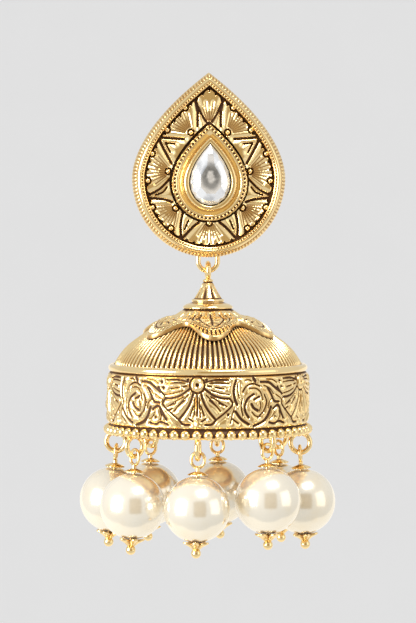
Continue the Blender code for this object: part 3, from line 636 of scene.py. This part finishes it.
def make_stone():
    """A pear cut: a table, a ring of star facets, a ring of main facets and a girdle."""
    bm = start_shape()
    girdle = inset(SETTING, 2.00 * MM)
    front = SETTING_Y - 1.52 * MM
    rings = [
        facet_ring(bm, inset(girdle, 0.35 * MM), SETTING_Y - 0.62 * MM, 16, 0.0),
        facet_ring(bm, inset(girdle, 0.02 * MM), SETTING_Y - 0.75 * MM, 16, 0.0),
        facet_ring(bm, inset(girdle, 0.14 * MM), front, 16, 0.0),
        facet_ring(bm, tuple(size * 0.80 for size in girdle), front - 0.50 * MM, 16, 0.5),
        facet_ring(bm, tuple(size * 0.52 for size in girdle), front - 0.86 * MM, 8, 0.5),
    ]
    for (one, _), (other, _) in zip(rings, rings[1:]):
        bmesh.ops.bridge_loops(bm, edges=one + other)
    for edges, points in (rings[0], rings[-1]):
        bmesh.ops.contextual_create(bm, geom=edges)
    bmesh.ops.triangulate(bm, faces=[face for face in bm.faces if len(face.verts) == 4])
    cut = finished(bm, "centre_stone_cut")
    add_piece("centre_stone_cut", cut, "stud", ["centre_stone"], CRYSTAL, flat=True)


def make_post():
    bm = start_shape()
    profile = (
        (0, 0.00), (2.42, 0.00), (2.50, 0.06), (2.50, 0.72), (2.40, 0.80), (0.70, 0.80), (0.50, 0.86),
        (0.45, 1.00), (0.45, 8.60), (0.38, 8.75), (0.38, 8.95), (0.45, 9.10), (0.45, 10.05), (0.30, 10.40), (0, 10.50),
    )  # fmt: skip
    stand = Matrix.Rotation(-math.pi / 2, 4, "X")
    turn_profile(bm, [(radius * MM, height * MM) for radius, height in profile], 32, stand)
    add_piece("ear_pin", finished(bm, "ear_pin"), "stud", ["ear_post"], STEEL)


def make_staple():
    """The U of wire behind the plate that carries the ring."""
    bm = start_shape()
    bow = 0.975 * MM
    reach = AXIS_Y + WIRE
    place = Matrix.Translation((0, reach, STAPLE_Z + bow)) @ Matrix.Rotation(math.pi / 2, 4, "Z")
    made = add_loop(bm, bow, WIRE, place)
    for point in made:
        if point.co.y < reach - 0.02 * MM:
            point.co.y = reach + (point.co.y - reach) * 1.3 - 0.10 * MM
            point.co.y = max(point.co.y, -0.45 * MM)
    stain(bm, made, 0.12)
    add_piece("ring_staple", finished(bm, "ring_staple"), "stud", ["stud_plate"], POLISHED_GOLD)


def make_ring():
    bm = start_shape()
    place = Matrix.Translation((0, AXIS_Y, RING_Z))
    made = add_loop(bm, 1.20 * MM, WIRE, place, stretch=0.40 * MM, steps=48, sides=14)
    stain(bm, made, 0.10)
    add_piece("jump_ring", finished(bm, "jump_ring"), "ring_link", ["hanging_ring"], POLISHED_GOLD)


# Bell drop: heights are above the centre of the bead row


def on_axis(turn, radius, height):
    return radius * np.sin(turn), AXIS_Y - radius * np.cos(turn), height + BEAD_ROW_Z


def dome_height(radius, offset=0.0):
    """The dome's height at a radius: a ball's, a little flattened towards its crown."""
    reach = np.maximum((DOME_RADIUS + offset) ** 2 - np.asarray(radius) ** 2, 0)
    flattened = CROWN_DROP * step(11.0, 7.8, np.asarray(radius) / MM)
    return np.minimum(DOME_CENTRE + np.sqrt(reach), CROWN_HEIGHT + offset) - flattened


FINIAL_SECTION = (  # share, radius, height from the solid finial's foot, flute, patina
    (0.00, 0.00, 3.02, 0, 0.1),
    (0.04, 0.42, 2.96, 0, 0.1),
    (0.08, 0.62, 2.82, 0, 0.0),
    (0.12, 0.66, 2.74, 0, 0.0),
    (0.15, 0.60, 2.62, 0, 0.6),
    (0.18, 0.55, 2.54, 0, 1.0),
    (0.22, 0.66, 2.44, 0.2, 0.5),
    (0.32, 0.92, 1.90, 0.8, 0.0),
    (0.44, 1.28, 1.24, 1, 0.0),
    (0.52, 1.62, 0.70, 1, 0.1),
    (0.55, 1.66, 0.60, 0.6, 0.8),
    (0.57, 1.72, 0.54, 0, 0.7),
    (0.61, 1.92, 0.48, 0, 0.0),
    (0.65, 2.02, 0.30, 0, 0.0),
    (0.69, 1.94, 0.14, 0, 0.1),
    (0.71, 1.98, 0.05, 0, 1.0),
    (0.74, 2.30, -0.02, 0, 0.3),
    (0.78, 2.66, -0.12, 0, 0.0),
    (0.82, 3.00, -0.36, 0, 0.0),
    (0.86, 3.10, -0.56, 0, 0.0),
    (0.89, 3.02, -0.68, 0, 0.5),
    (0.92, 2.80, -0.70, 0, 1.0),
    (1.00, 0.00, -0.70, 0, 1.0),
)


def finial_surface(around, along):
    radius, height, flute, patina = section(FINIAL_SECTION, along)
    turn = 2 * np.pi * around
    groove = step(0.1, -0.9, np.cos(8 * turn)) * flute
    fluted = (radius * (1 - 0.17 * groove)) * MM
    return (*on_axis(turn, fluted, height * MM + FINIAL_FOOT), np.maximum(patina, groove * 0.8))


def make_finial():
    bm = start_shape()
    inside = CROWN_HEIGHT - CROWN_DROP - WALL - GAP
    top = FINIAL_FOOT - inside + 0.1 * MM
    rivet = ((0.6, 0.0), (1.45, 0.0), (1.6, -0.12), (1.5, -0.32), (1.12, -0.5), (0, -0.5))
    profile = [(0, top), (STEM_RADIUS, top), *((radius * MM, height * MM) for radius, height in rivet)]
    stand = Matrix.Translation((0, AXIS_Y, BEAD_ROW_Z + inside))
    made = turn_profile(bm, profile, 24, stand)
    stain(bm, made, 0.35)
    place = Matrix.Translation((0, AXIS_Y, HINGE_Z)) @ Matrix.Rotation(math.pi / 2, 4, "Z")
    add_loop(bm, 0.93 * MM, 0.33 * MM, place, steps=40, sides=14)
    finial = joined("finial", chased("cone", 160, 90, finial_surface), finished(bm, "stem"))
    add_piece("fluted_finial", finial, "bell_drop", ["drop_finial"], POLISHED_GOLD)


CAP_CUTS = (  # in one half lobe: right of its middle and out from the axis, in millimetres
    (0.07, ((0.0, 3.50), (0.0, 6.55))),
    (0.08, ((0.35, 6.85), (1.20, 6.15), (1.60, 5.00), (1.15, 3.50))),
    (0.04, ((0.10, 6.00), (0.75, 6.35))),
    (0.04, ((0.10, 5.25), (1.20, 5.75))),
    (0.04, ((0.10, 4.50), (1.30, 4.85))),
    (0.07, ((1.35, 6.75), (2.10, 6.35), (2.55, 5.50), (2.15, 4.10))),
    (0.05, ((1.95, 5.60), (1.85, 4.60))),
    (0.08, ((1.90, 3.29), (3.05, 5.28))),
    (0.12, ((1.62, 6.25), (1.63, 6.25))),
    (0.10, ((2.78, 5.95), (2.79, 5.95))),
)


def cap_reach(share):
    """The cap's radius along the middle of a lobe, at a share of its way from the stem's hole to its edge."""
    return STEM_HOLE + (CAP_EDGE - STEM_HOLE) * share


def cap_radius(turn, share):
    """The same all round, drawn in between the lobes."""
    wave = 0.5 - 0.5 * np.cos(CAP_LOBES * turn)
    return cap_reach(share) * (1 - CAP_LOBE_DEPTH * wave * share**2)


def cap_surface(around, along):
    """The leafed cap: thicker towards its dotted edge, rising at its middle to meet the finial, and dark underneath as
    painted shade.
    """
    turn = 2 * np.pi * around
    out = np.clip(along / 0.86, 0, 1)
    back = 1 - np.clip((along - 0.90) / 0.10, 0, 1)
    share = np.where(along < 0.88, out, back)
    radius = cap_radius(turn, share)
    lobe = (turn + np.pi / CAP_LOBES) % (2 * np.pi / CAP_LOBES) - np.pi / CAP_LOBES
    flat = cap_reach(share) / MM
    cuts = chisel_distance(flat * np.sin(np.abs(lobe)), flat * np.cos(lobe), CAP_CUTS)
    upper = step(0.885, 0.86, along)
    border = step(0.845, 0.86, share) * step(0.975, 0.955, share)
    dots = step(0.0, -0.8, np.cos(2 * np.pi * CAP_DOTS * around)) * border
    lip = step(0.800, 0.812, share) * step(0.845, 0.832, share)
    crown = step(0.32, 0.28, share)
    cut = np.maximum.reduce([step(0.08, -0.01, cuts) * step(0.81, 0.79, share), dots, lip * 0.9, crown])
    pillow = 1 - np.exp(-((np.maximum(cuts, 0) / 0.26) ** 2))
    body = step(0.80, 0.78, share)
    rise = (0.16 * pillow * body + 0.10 * (1 - body) - 0.12 * cut * step(0.3, 0.33, share)) * upper
    thin = 0.12 + 0.26 * step(0.38, 0.62, share)
    fall = np.maximum(radius / MM - 2.4, 0)
    slope = FINIAL_FOOT - FINIAL_DROP + (0.02 - 0.36 * fall - 0.12 * fall**2) * MM
    top = np.maximum(dome_height(radius, thin * MM), slope)
    under = dome_height(radius, 0.03 * MM)
    height = np.where(along < 0.88, top + rise * MM, under)
    # The underside's 0.7 patina is painted shade, a dark line below the cap's edge.
    return (*on_axis(turn, radius, height), np.maximum(cut * upper, (1 - upper) * 0.7))


def make_cap():
    cap = chased("flower_cap_leaves", 768, 84, cap_surface)
    add_piece("flower_cap_leaves", cap, "bell_drop", ["flower_cap"], GOLD)


def dome_surface(around, along):
    """The ribbed dome: the crown, the ribs down to the foot, and the plain inside."""
    low, high = math.asin(RIBS_START / DOME_RADIUS), math.asin(DOME_FOOT / DOME_RADIUS)
    table = [(0.0, STEM_HOLE, 0, 0, 0.3), (0.05, 3.2 * MM, 0, 0, 0.3), (0.08, 4.9 * MM, 0, 0, 0.4)]
    for part in range(25):
        angle = low + (high - low) * part / 24
        table.append((0.10 + 0.68 * part / 24, DOME_RADIUS * math.sin(angle), 0, 1, 0.0))
    table += [(0.80, 11.45 * MM, 0.35 * MM, 0, 0.8), (0.82, 10.60 * MM, WALL, 0, 0.2)]
    table += [(0.90, 8.6 * MM, WALL, 0, 0), (0.96, 5.0 * MM, WALL, 0, 0), (1.0, STEM_HOLE, WALL, 0, 0)]
    radius, offset, rib, patina = section(table, along)
    turn = 2 * np.pi * around
    wave = np.cos(RIBS * turn)
    groove = step(0.30, -0.70, wave) * rib
    cut = (0.30 * groove + 0.05 * (1 - wave) * 0.5 * rib) * MM
    height = dome_height(radius, -offset)
    lean = radius / DOME_RADIUS
    upright = np.sqrt(1 - lean**2)
    fading = 0.25 * step(0.6, 0.1, (radius - 4.9 * MM) / (7.0 * MM))
    stained = np.maximum(patina, groove * (1 - fading))
    return (*on_axis(turn, radius - cut * lean, height - cut * upright), stained)


COLLAR_PROFILE = (  # radius, height, patina
    (11.00, 6.95, 0.1), (11.80, 6.97, 1.0), (11.92, 7.06, 1.0), (12.03, 7.14, 0.2), (12.16, 7.28, 0.0),
    (12.24, 7.48, 0.0), (12.22, 7.70, 0.0), (12.10, 7.88, 0.0), (11.92, 7.99, 0.0), (11.74, 8.04, 0.0),
    (11.60, 8.00, 0.2), (11.52, 7.90, 1.0), (11.00, 7.80, 0.2), (11.00, 6.95, 0.1),
)  # fmt: skip


def turned(profile):
    """A surface for chased: the rows of a profile, evenly apart, turned round the bell's axis."""
    table = [(row / (len(profile) - 1), *values) for row, values in enumerate(profile)]

    def surface(around, along):
        radius, height, patina = section(table, along)
        return (*on_axis(2 * np.pi * around, radius * MM, height * MM), patina)

    return surface


FLOWER_CUTS = (  # half-width and places: right of the flower's middle and up from the band's foot
    (0.07, ((0.0, 4.10), (0.0, 1.55))),
    (0.10, ((0.42, 4.30), (0.78, 3.10), (1.35, 2.15), (2.26, 1.10))),
    (0.09, ((2.26, 1.10), (1.75, 0.58), (0.95, 0.55))),
    (0.10, ((0.75, 4.75), (1.85, 3.95), (2.90, 3.58), (3.95, 3.50))),
    (0.05, ((1.45, 3.35), (2.35, 2.65))),
    (0.07, ((0.95, 5.35), (2.20, 5.62), (3.80, 5.60))),
    (0.05, ((2.20, 4.78), (3.25, 4.62))),
    (0.05, ((2.60, 3.00), (3.30, 2.75))),
    (0.07, ((3.95, 3.50), (4.30, 2.85), (3.40, 1.95), (2.26, 1.10))),
    (0.16, ((1.12, 5.62), (1.13, 5.62))),
    (0.05, ((0.45, 2.70), (0.85, 1.55))),
    (0.06, ((0.50, 0.90), (1.05, 1.25))),
    (0.05, ((1.20, 4.95), (1.75, 4.85))),
    (0.03, ((0.62, 3.75), (1.05, 2.75), (1.70, 1.80))),
    (0.03, ((1.05, 3.95), (1.95, 3.10), (2.85, 2.05))),
    (0.03, ((1.60, 3.75), (2.70, 3.15), (3.60, 2.60))),
    (0.03, ((1.45, 5.25), (2.60, 5.28), (3.90, 5.20))),
    (0.03, ((1.70, 4.45), (2.70, 4.15), (3.90, 3.95))),
    (0.03, ((0.28, 3.60), (0.32, 2.40), (0.40, 1.40))),
)
SCROLL_CUTS = (  # the same, for the scroll between two flowers
    (0.12, ((4.78, 5.55), (4.48, 4.65), (4.52, 3.60), (4.85, 2.80))),
    (0.15, ((3.75, 1.70), (3.76, 1.70))),
    (0.12, ((4.65, 2.05), (5.40, 1.15), (6.40, 0.55))),
    (0.05, ((4.20, 1.25), (5.10, 0.65))),
    (0.06, ((5.55, 4.20), (6.05, 4.85), (6.90, 5.15), (7.90, 4.85))),
    (0.16, ((7.05, 5.75), (7.30, 5.40))),
    (0.11, ((7.00, 3.95), (6.20, 3.45), (5.85, 2.70), (5.92, 1.95), (6.35, 1.35))),
    (0.10, ((7.05, 3.35), (7.75, 3.65))),
    (0.12, ((6.70, 2.85), (7.00, 2.40), (7.55, 2.10))),
    (0.14, ((9.45, 2.45), (8.95, 1.40), (8.30, 0.78), (7.10, 0.35))),
    (0.06, ((8.45, 3.90), (8.80, 3.00), (8.35, 1.95))),
    (0.06, ((7.60, 1.30), (8.20, 1.85))),
    (0.12, ((8.05, 5.32), (9.20, 5.25), (9.95, 4.80), (10.80, 4.25))),
    (0.11, ((9.00, 4.65), (9.50, 3.90), (9.95, 3.15), (10.70, 3.00))),
    (0.15, ((10.95, 5.35), (10.96, 5.35))),
    (0.14, ((11.20, 4.70), (11.21, 4.70))),
    (0.10, ((10.55, 4.75), (10.85, 4.30), (11.35, 3.85))),
    (0.12, ((9.80, 2.25), (10.60, 2.60), (11.15, 1.75), (11.60, 1.10))),
    (0.11, ((10.15, 1.35), (10.16, 1.35))),
    (0.10, ((9.30, 0.70), (10.10, 0.55), (10.85, 0.80), (11.75, 0.55))),
    (0.06, ((11.80, 2.10), (12.40, 2.35))),
    (0.03, ((4.98, 5.30), (4.92, 4.50), (5.12, 3.50))),
    (0.04, ((5.52, 3.50), (5.36, 2.60), (5.60, 1.50))),
    (0.04, ((6.45, 4.62), (7.30, 4.62), (7.95, 4.15), (8.20, 3.30))),
    (0.03, ((6.75, 1.95), (7.25, 1.50), (7.90, 1.38))),
    (0.03, ((8.45, 4.92), (9.30, 4.60), (9.85, 3.95))),
    (0.03, ((9.60, 3.40), (9.15, 2.95), (9.00, 2.30))),
    (0.03, ((10.20, 3.88), (10.90, 3.50), (11.20, 3.20))),
    (0.03, ((10.05, 1.90), (9.70, 1.35), (9.25, 1.10))),
    (0.04, ((10.80, 2.00), (10.95, 1.45), (10.70, 1.00))),
    (0.03, ((7.85, 3.10), (7.95, 2.60), (7.75, 1.95))),
    (0.03, ((8.90, 5.62), (9.80, 5.55), (10.50, 5.20))),
    (0.03, ((5.90, 5.55), (6.40, 5.62), (6.75, 5.45))),
    (0.03, ((4.55, 2.50), (4.35, 1.95), (4.05, 0.70))),
)
BAND_SECTION = (  # share, radius, height, raised, patina
    (0.000, 11.35, 7.16, 0, 0.0),
    (0.015, 11.78, 7.16, 0, 1.0),
    (0.030, 11.92, 7.08, 0, 0.9),
    (0.045, 12.10, 7.02, 1, 0.0),
    (0.840, 12.10, 0.70, 1, 0.0),
    (0.860, 11.90, 0.62, 0, 0.8),
    (0.880, 11.80, 0.50, 0, 1.0),
    (0.900, 11.35, 0.50, 0, 0.1),
    (1.000, 11.35, 7.16, 0, 0.0),
)


# The band's drawing, in millimetres
DRAWN_RADIUS = 12.3  # where it is laid round the band
DRAWN_HEIGHT = 5.95  # stretched over the band's height
BOSS_UP = 5.05
BOSS_RADIUS = 0.92


def band_surface(around, along):
    radius, height, raised, patina = section(BAND_SECTION, along)
    turn = 2 * np.pi * around
    pitch = 2 * math.pi * DRAWN_RADIUS / FLOWERS
    across = ((turn - math.radians(DROP_TURN)) * DRAWN_RADIUS) % pitch
    up = (height - BAND_FOOT / MM) * DRAWN_HEIGHT / (BAND_HEIGHT / MM)
    from_flower = np.minimum(across, pitch - across)
    flower = chisel_distance(from_flower, up, FLOWER_CUTS)
    cuts = np.minimum(flower, chisel_distance(across, up, SCROLL_CUTS))
    boss = np.hypot(from_flower, up - BOSS_UP)
    ring = np.abs(boss - BOSS_RADIUS) - 0.06
    hole = boss - 0.17
    cuts = np.where(boss < BOSS_RADIUS, np.minimum(ring, hole), np.minimum(cuts, ring))
    edge = np.minimum(up, DRAWN_HEIGHT - up)
    cut = np.maximum(step(0.075, -0.01, cuts), step(0.12, 0.02, edge)) * raised
    echo = step(0.08, 0.0, np.abs(cuts - 0.36)) * step(0.30, 0.50, edge) * step(0.9, 1.0, boss) * raised
    pillow = 1 - np.exp(-((np.maximum(np.minimum(cuts, edge), 0) / 0.36) ** 2))
    raised_boss = step(0.95, 0.60, boss) * 0.14
    swell = BAND_BULGE * np.sin(np.pi * np.clip(up / DRAWN_HEIGHT, 0, 1)) * raised
    rise = ((0.10 + 0.26 * pillow + raised_boss - 0.07 * echo) * (1 - cut) - 0.06 * cut) * raised * MM
    return (*on_axis(turn, radius * MM + swell + rise, height * MM), np.maximum.reduce([patina, cut, echo * 0.54]))


RAIL_PROFILE = (  # radius, height, patina
    (11.20, 0.90, 0.1), (11.90, 0.86, 1.0), (12.08, 0.44, 1.0), (12.30, 0.10, 0.9), (12.34, -0.15, 0.9),
    (12.20, -0.42, 0.3), (11.95, -0.56, 0.0), (11.45, -0.60, 0.0), (11.24, -0.50, 0.0), (11.20, 0.90, 0.1),
)  # fmt: skip


def bead_row():
    bm = start_shape()
    for bead in range(BEADS):
        turn = 2 * math.pi * (bead + 0.25) / BEADS
        centre = Vector(on_axis(turn, BEAD_CIRCLE - 0.02 * MM, 0.0))
        add_ball(bm, centre, BEAD_RADIUS, 14, 10)
    return finished(bm, "bead_row")


def drop_matrix(place, outward, sideways, lift):
    """Where a pearl drop's loop wire is, turned and leaned as the drop hangs."""
    angle = math.radians(DROP_TURN + 360.0 / len(DROPS) * place)
    seat = Vector((math.sin(angle), -math.cos(angle), 0)) * LOOP_CIRCLE
    seat += Vector((0, AXIS_Y, BEAD_ROW_Z + lift - LOOP_DROP))
    lean = Matrix.Rotation(-math.radians(outward), 4, "X") @ Matrix.Rotation(math.radians(sideways), 4, "Y")
    return Matrix.Translation(seat), Matrix.Rotation(angle, 4, "Z"), lean


def rim_loops():
    bm = start_shape()
    upright = Matrix.Translation((0, 0, LOOP_RADIUS))
    across = Matrix.Rotation(math.pi / 2, 4, "Z")
    for drop in DROPS:
        seat, turn, _ = drop_matrix(*drop)
        add_loop(bm, LOOP_RADIUS, LOOP_WIRE, seat @ turn @ upright @ across)
    stain(bm, bm.verts, 0.10)
    return finished(bm, "rim_loops")


def make_bell():
    dome = chased("ribbed_dome", RIBS * 8, 44, dome_surface)
    add_piece("ribbed_dome", dome, "bell_drop", ["bell"], GOLD)
    band = chased("flowered_band", 1040, 92, band_surface)
    add_piece("flowered_band", band, "bell_drop", ["bell"], GOLD)
    collar = chased("collar_ring", 192, 26, turned(COLLAR_PROFILE))
    add_piece("collar_ring", collar, "bell_drop", ["bell"], POLISHED_GOLD)
    rail = joined("bead_rail", chased("rail", 168, 27, turned(RAIL_PROFILE)), bead_row())
    add_piece("bead_rail", rail, "bell_drop", ["bell"], POLISHED_GOLD)
    add_piece("rim_loops", rim_loops(), "bell_drop", ["bell"], POLISHED_GOLD)


# A pearl drop, about Z with its loop's wire at the origin

PEARL_Z = -6.03 * MM
PEARL_FLAT_FROM = 0.985  # share of the radius where the drilled ends turn flat
CUP_PETALS = 5
CUP_SECTION = (  # share, share of the petal's reach, height off the pearl, patina
    (0.00, 0.14, 0.06, 0.6), (0.05, 0.20, 0.90, 0.5), (0.12, 0.26, 0.86, 0.0), (0.24, 0.50, 0.58, 0.0),
    (0.40, 0.80, 0.42, 0.0), (0.52, 1.00, 0.34, 0.0), (0.60, 1.00, 0.12, 0.4), (0.80, 0.60, 0.06, 0.5),
    (1.00, 0.14, 0.06, 0.6),
)  # fmt: skip
DISC_SECTION = (  # share, radius, height, patina
    (0.00, 0.30, -0.05, 0.6), (0.35, 0.80, -0.20, 0.1), (0.55, 1.22, -0.40, 0.0), (0.65, 1.25, -0.50, 0.1),
    (0.75, 1.15, -0.54, 0.2), (1.00, 0.30, -0.36, 0.3),
)  # fmt: skip


def pin_shape():
    bm = start_shape()
    shank = (
        (0, -0.98), (0.27, -1.05), (0.27, -10.85), (0.42, -10.90), (0.56, -11.12), (0.60, -11.35),
        (0.56, -11.58), (0.42, -11.78), (0.22, -11.91), (0, -11.95),
    )  # fmt: skip
    turn_profile(bm, [(radius * MM, height * MM) for radius, height in shank], 20)
    place = Matrix.Translation((0, 0, -0.11 * MM))
    made = add_loop(bm, 0.80 * MM, 0.20 * MM, place, stretch=0.12 * MM, steps=28, sides=10)
    stain(bm, made, 0.12)
    return finished(bm, "pin_shape")


def cup_surface(around, along):
    """A petalled cup round the pearl's foot, with petals that stand a little away at their tips."""
    share, offset, patina = section(CUP_SECTION, along)
    turn = 2 * np.pi * around
    petal = 0.5 + 0.5 * np.cos(CUP_PETALS * turn)
    reach = math.radians(22.0) * (0.48 + 0.52 * petal**0.6)
    angle = reach * share
    flare = 0.16 * np.maximum(share - 0.5, 0) * petal
    sphere = PEARL_RADIUS + (offset + flare) * MM
    vein = step(0.94, 1.0, petal) * step(0.5, 0.56, offset) * step(0.25, 0.4, share)
    gap = step(0.30, 0.05, petal) * step(0.3, 0.7, share)
    radius = sphere * np.sin(angle)
    height = PEARL_Z - sphere * np.cos(angle)
    return radius * np.sin(turn), -radius * np.cos(turn), height, np.maximum.reduce([patina, vein * 0.6, gap * 0.5])


def disc_surface(around, along):
    """The thin domed cap on the pearl's top, with a scalloped edge."""
    radius, height, patina = section(DISC_SECTION, along)
    turn = 2 * np.pi * around
    radius = radius * (1 - 0.05 * (0.5 - 0.5 * np.cos(10 * turn)) * step(0.5, 1.2, radius))
    line = step(-0.5, -0.95, np.cos(10 * turn)) * step(0.5, 0.9, radius)
    return radius * MM * np.sin(turn), -radius * MM * np.cos(turn), (height - 1.43) * MM, np.maximum(patina, line * 0.5)


def pearl_shape():
    bm = start_shape()
    made = add_ball(bm, Vector((0, 0, PEARL_Z)), PEARL_RADIUS, 48, 32)
    for point in made:
        pull = max(abs(point.co.z - PEARL_Z) / PEARL_RADIUS - PEARL_FLAT_FROM, 0) / (1 - PEARL_FLAT_FROM)
        point.co.z -= math.copysign(pull * 0.10 * MM, point.co.z - PEARL_Z)
    return finished(bm, "pearl_shape")


def make_pearl_drops():
    shapes = (
        ("pearl_pin", "head_pin", pin_shape(), "gold", POLISHED_GOLD),
        ("pearl_disc", "pearl_cap", chased("pearl_cap", 60, 12, disc_surface), "gold", POLISHED_GOLD),
        ("pearl", "ivory_pearl", pearl_shape(), "pearl", PEARL),
        ("pearl_cup", "petal_cup", chased("petal_cup", 80, 24, cup_surface), "gold", GOLD),
    )
    for number, drop in enumerate(DROPS, 1):
        seat, turn, lean = drop_matrix(*drop)
        for node, name, shape, slot, finish in shapes:
            mesh = shape.copy()
            mesh.transform(seat @ turn @ lean)
            add_piece(f"{name}_{number}", mesh, "bell_drop", [f"{node}_{number}"], finish)


# Stage, in metres

MIDDLE = (0, 0, -0.020)
PAPER_Z = -0.50
PAPER_REACH = 1.0
PAPER_BEND = 0.5
PAPER_TOP = 2.5
LIGHTS = (  # name, place, what it faces, width and height, watts, colour
    ("key_box", (-0.37, -0.19, 0.03), MIDDLE, (0.26, 0.30), 1.9, (1, 1, 1)),
    ("top_fill", (0.10, -0.20, 0.34), MIDDLE, (0.20, 0.11), 1.0, (1, 1, 1)),
    ("right_fill", (0.46, -0.24, 0.04), MIDDLE, (0.34, 0.40), 0.32, (1.0, 0.94, 0.84)),
    ("low_fill", (0.02, 0.26, -0.34), (0, 0, -0.030), (1.20, 1.20), 1.4, (1.0, 0.88, 0.68)),
)
CAMERA_PLACE = (-0.0392, -0.4483, -0.0005)
CAMERA_TARGET = (0, 0.0005, -0.0189)
FOCAL_LENGTH = 212  # millimetres
SENSOR_WIDTH = 36


def add_light(name, place, target, size, energy, colour):
    lamp = bpy.data.lights.new(name, "AREA")
    lamp.shape = "RECTANGLE"
    lamp.size, lamp.size_y = size
    lamp.energy = energy
    lamp.color = colour
    light = new_object(name, lamp)
    light.location = place
    light.visible_camera = False
    light.rotation_euler = (Vector(target) - Vector(place)).to_track_quat("-Z", "Y").to_euler()


def add_card(name, place, size, colour):
    """A card beside the camera that shows only in what shines."""
    bm = bmesh.new()
    facing = (Vector(MIDDLE) - Vector(place)).to_track_quat("Z", "Y").to_matrix().to_4x4()
    matrix = Matrix.Translation(place) @ facing @ Matrix.Diagonal((*size, 1, 1))
    bmesh.ops.create_grid(bm, x_segments=1, y_segments=1, size=0.5, matrix=matrix)
    mesh = new_mesh(bm, name)
    card = new_object(name, mesh)
    card.visible_camera = False
    card.visible_diffuse = False
    card.visible_shadow = False
    mesh.materials.append(Finish(name, Base_Color=colour, Roughness=1.0).material)


def make_stage():
    bm = start_shape()
    sweep = [(0, 0), (PAPER_REACH, 0)]
    for turn in np.linspace(0.1, math.pi / 2, 14):
        sweep.append((PAPER_REACH + PAPER_BEND * math.sin(turn), PAPER_BEND - PAPER_BEND * math.cos(turn)))
    sweep.append((PAPER_REACH + PAPER_BEND, PAPER_TOP))
    turn_profile(bm, sweep, 96, Matrix.Translation((0, 0, PAPER_Z)))
    mesh = finished(bm, "paper_sweep")
    mesh.shade_smooth()
    floor = new_object("paper_sweep", mesh)
    floor.visible_diffuse = False
    floor.visible_glossy = False
    floor.visible_shadow = False
    paper = Finish("paper_sweep", Roughness=0.9, Emission_Strength=0.21, Emission_Color=(0.88, 0.88, 0.95, 1))
    tooth = paper.noise(paper.place(), 40.0, 2.0)
    paper.feed(Base_Color=paper.mix(tooth, (0.69, 0.69, 0.68, 1), (0.71, 0.71, 0.70, 1)))
    mesh.materials.append(paper.material)
    add_card("camera_card", (0.05, -0.52, 0.01), (0.42, 0.54), (0.42, 0.33, 0.20, 1))
    world = bpy.data.worlds.new("studio")
    bpy.context.scene.world = world
    world.use_nodes = True
    background = world.node_tree.nodes["Background"]
    background.inputs["Color"].default_value = (0.86, 0.86, 0.85, 1)
    background.inputs["Strength"].default_value = 0.86
    for light in LIGHTS:
        add_light(*light)


def make_camera():
    lens = bpy.data.cameras.new("camera")
    lens.lens = FOCAL_LENGTH
    lens.sensor_width = SENSOR_WIDTH
    camera = new_object("camera", lens)
    camera.location = CAMERA_PLACE
    camera.rotation_euler = (Vector(CAMERA_TARGET) - camera.location).to_track_quat("-Z", "Y").to_euler()
    lens.clip_start = 0.01
    lens.clip_end = 50
    bpy.context.scene.camera = camera
    bpy.context.scene.view_settings.view_transform = "Standard"


make_stud()
make_setting()
make_stone()
make_post()
make_staple()
make_ring()
make_finial()
make_cap()
make_bell()
make_pearl_drops()
make_stage()
make_camera()

bpy.context.view_layer.update()
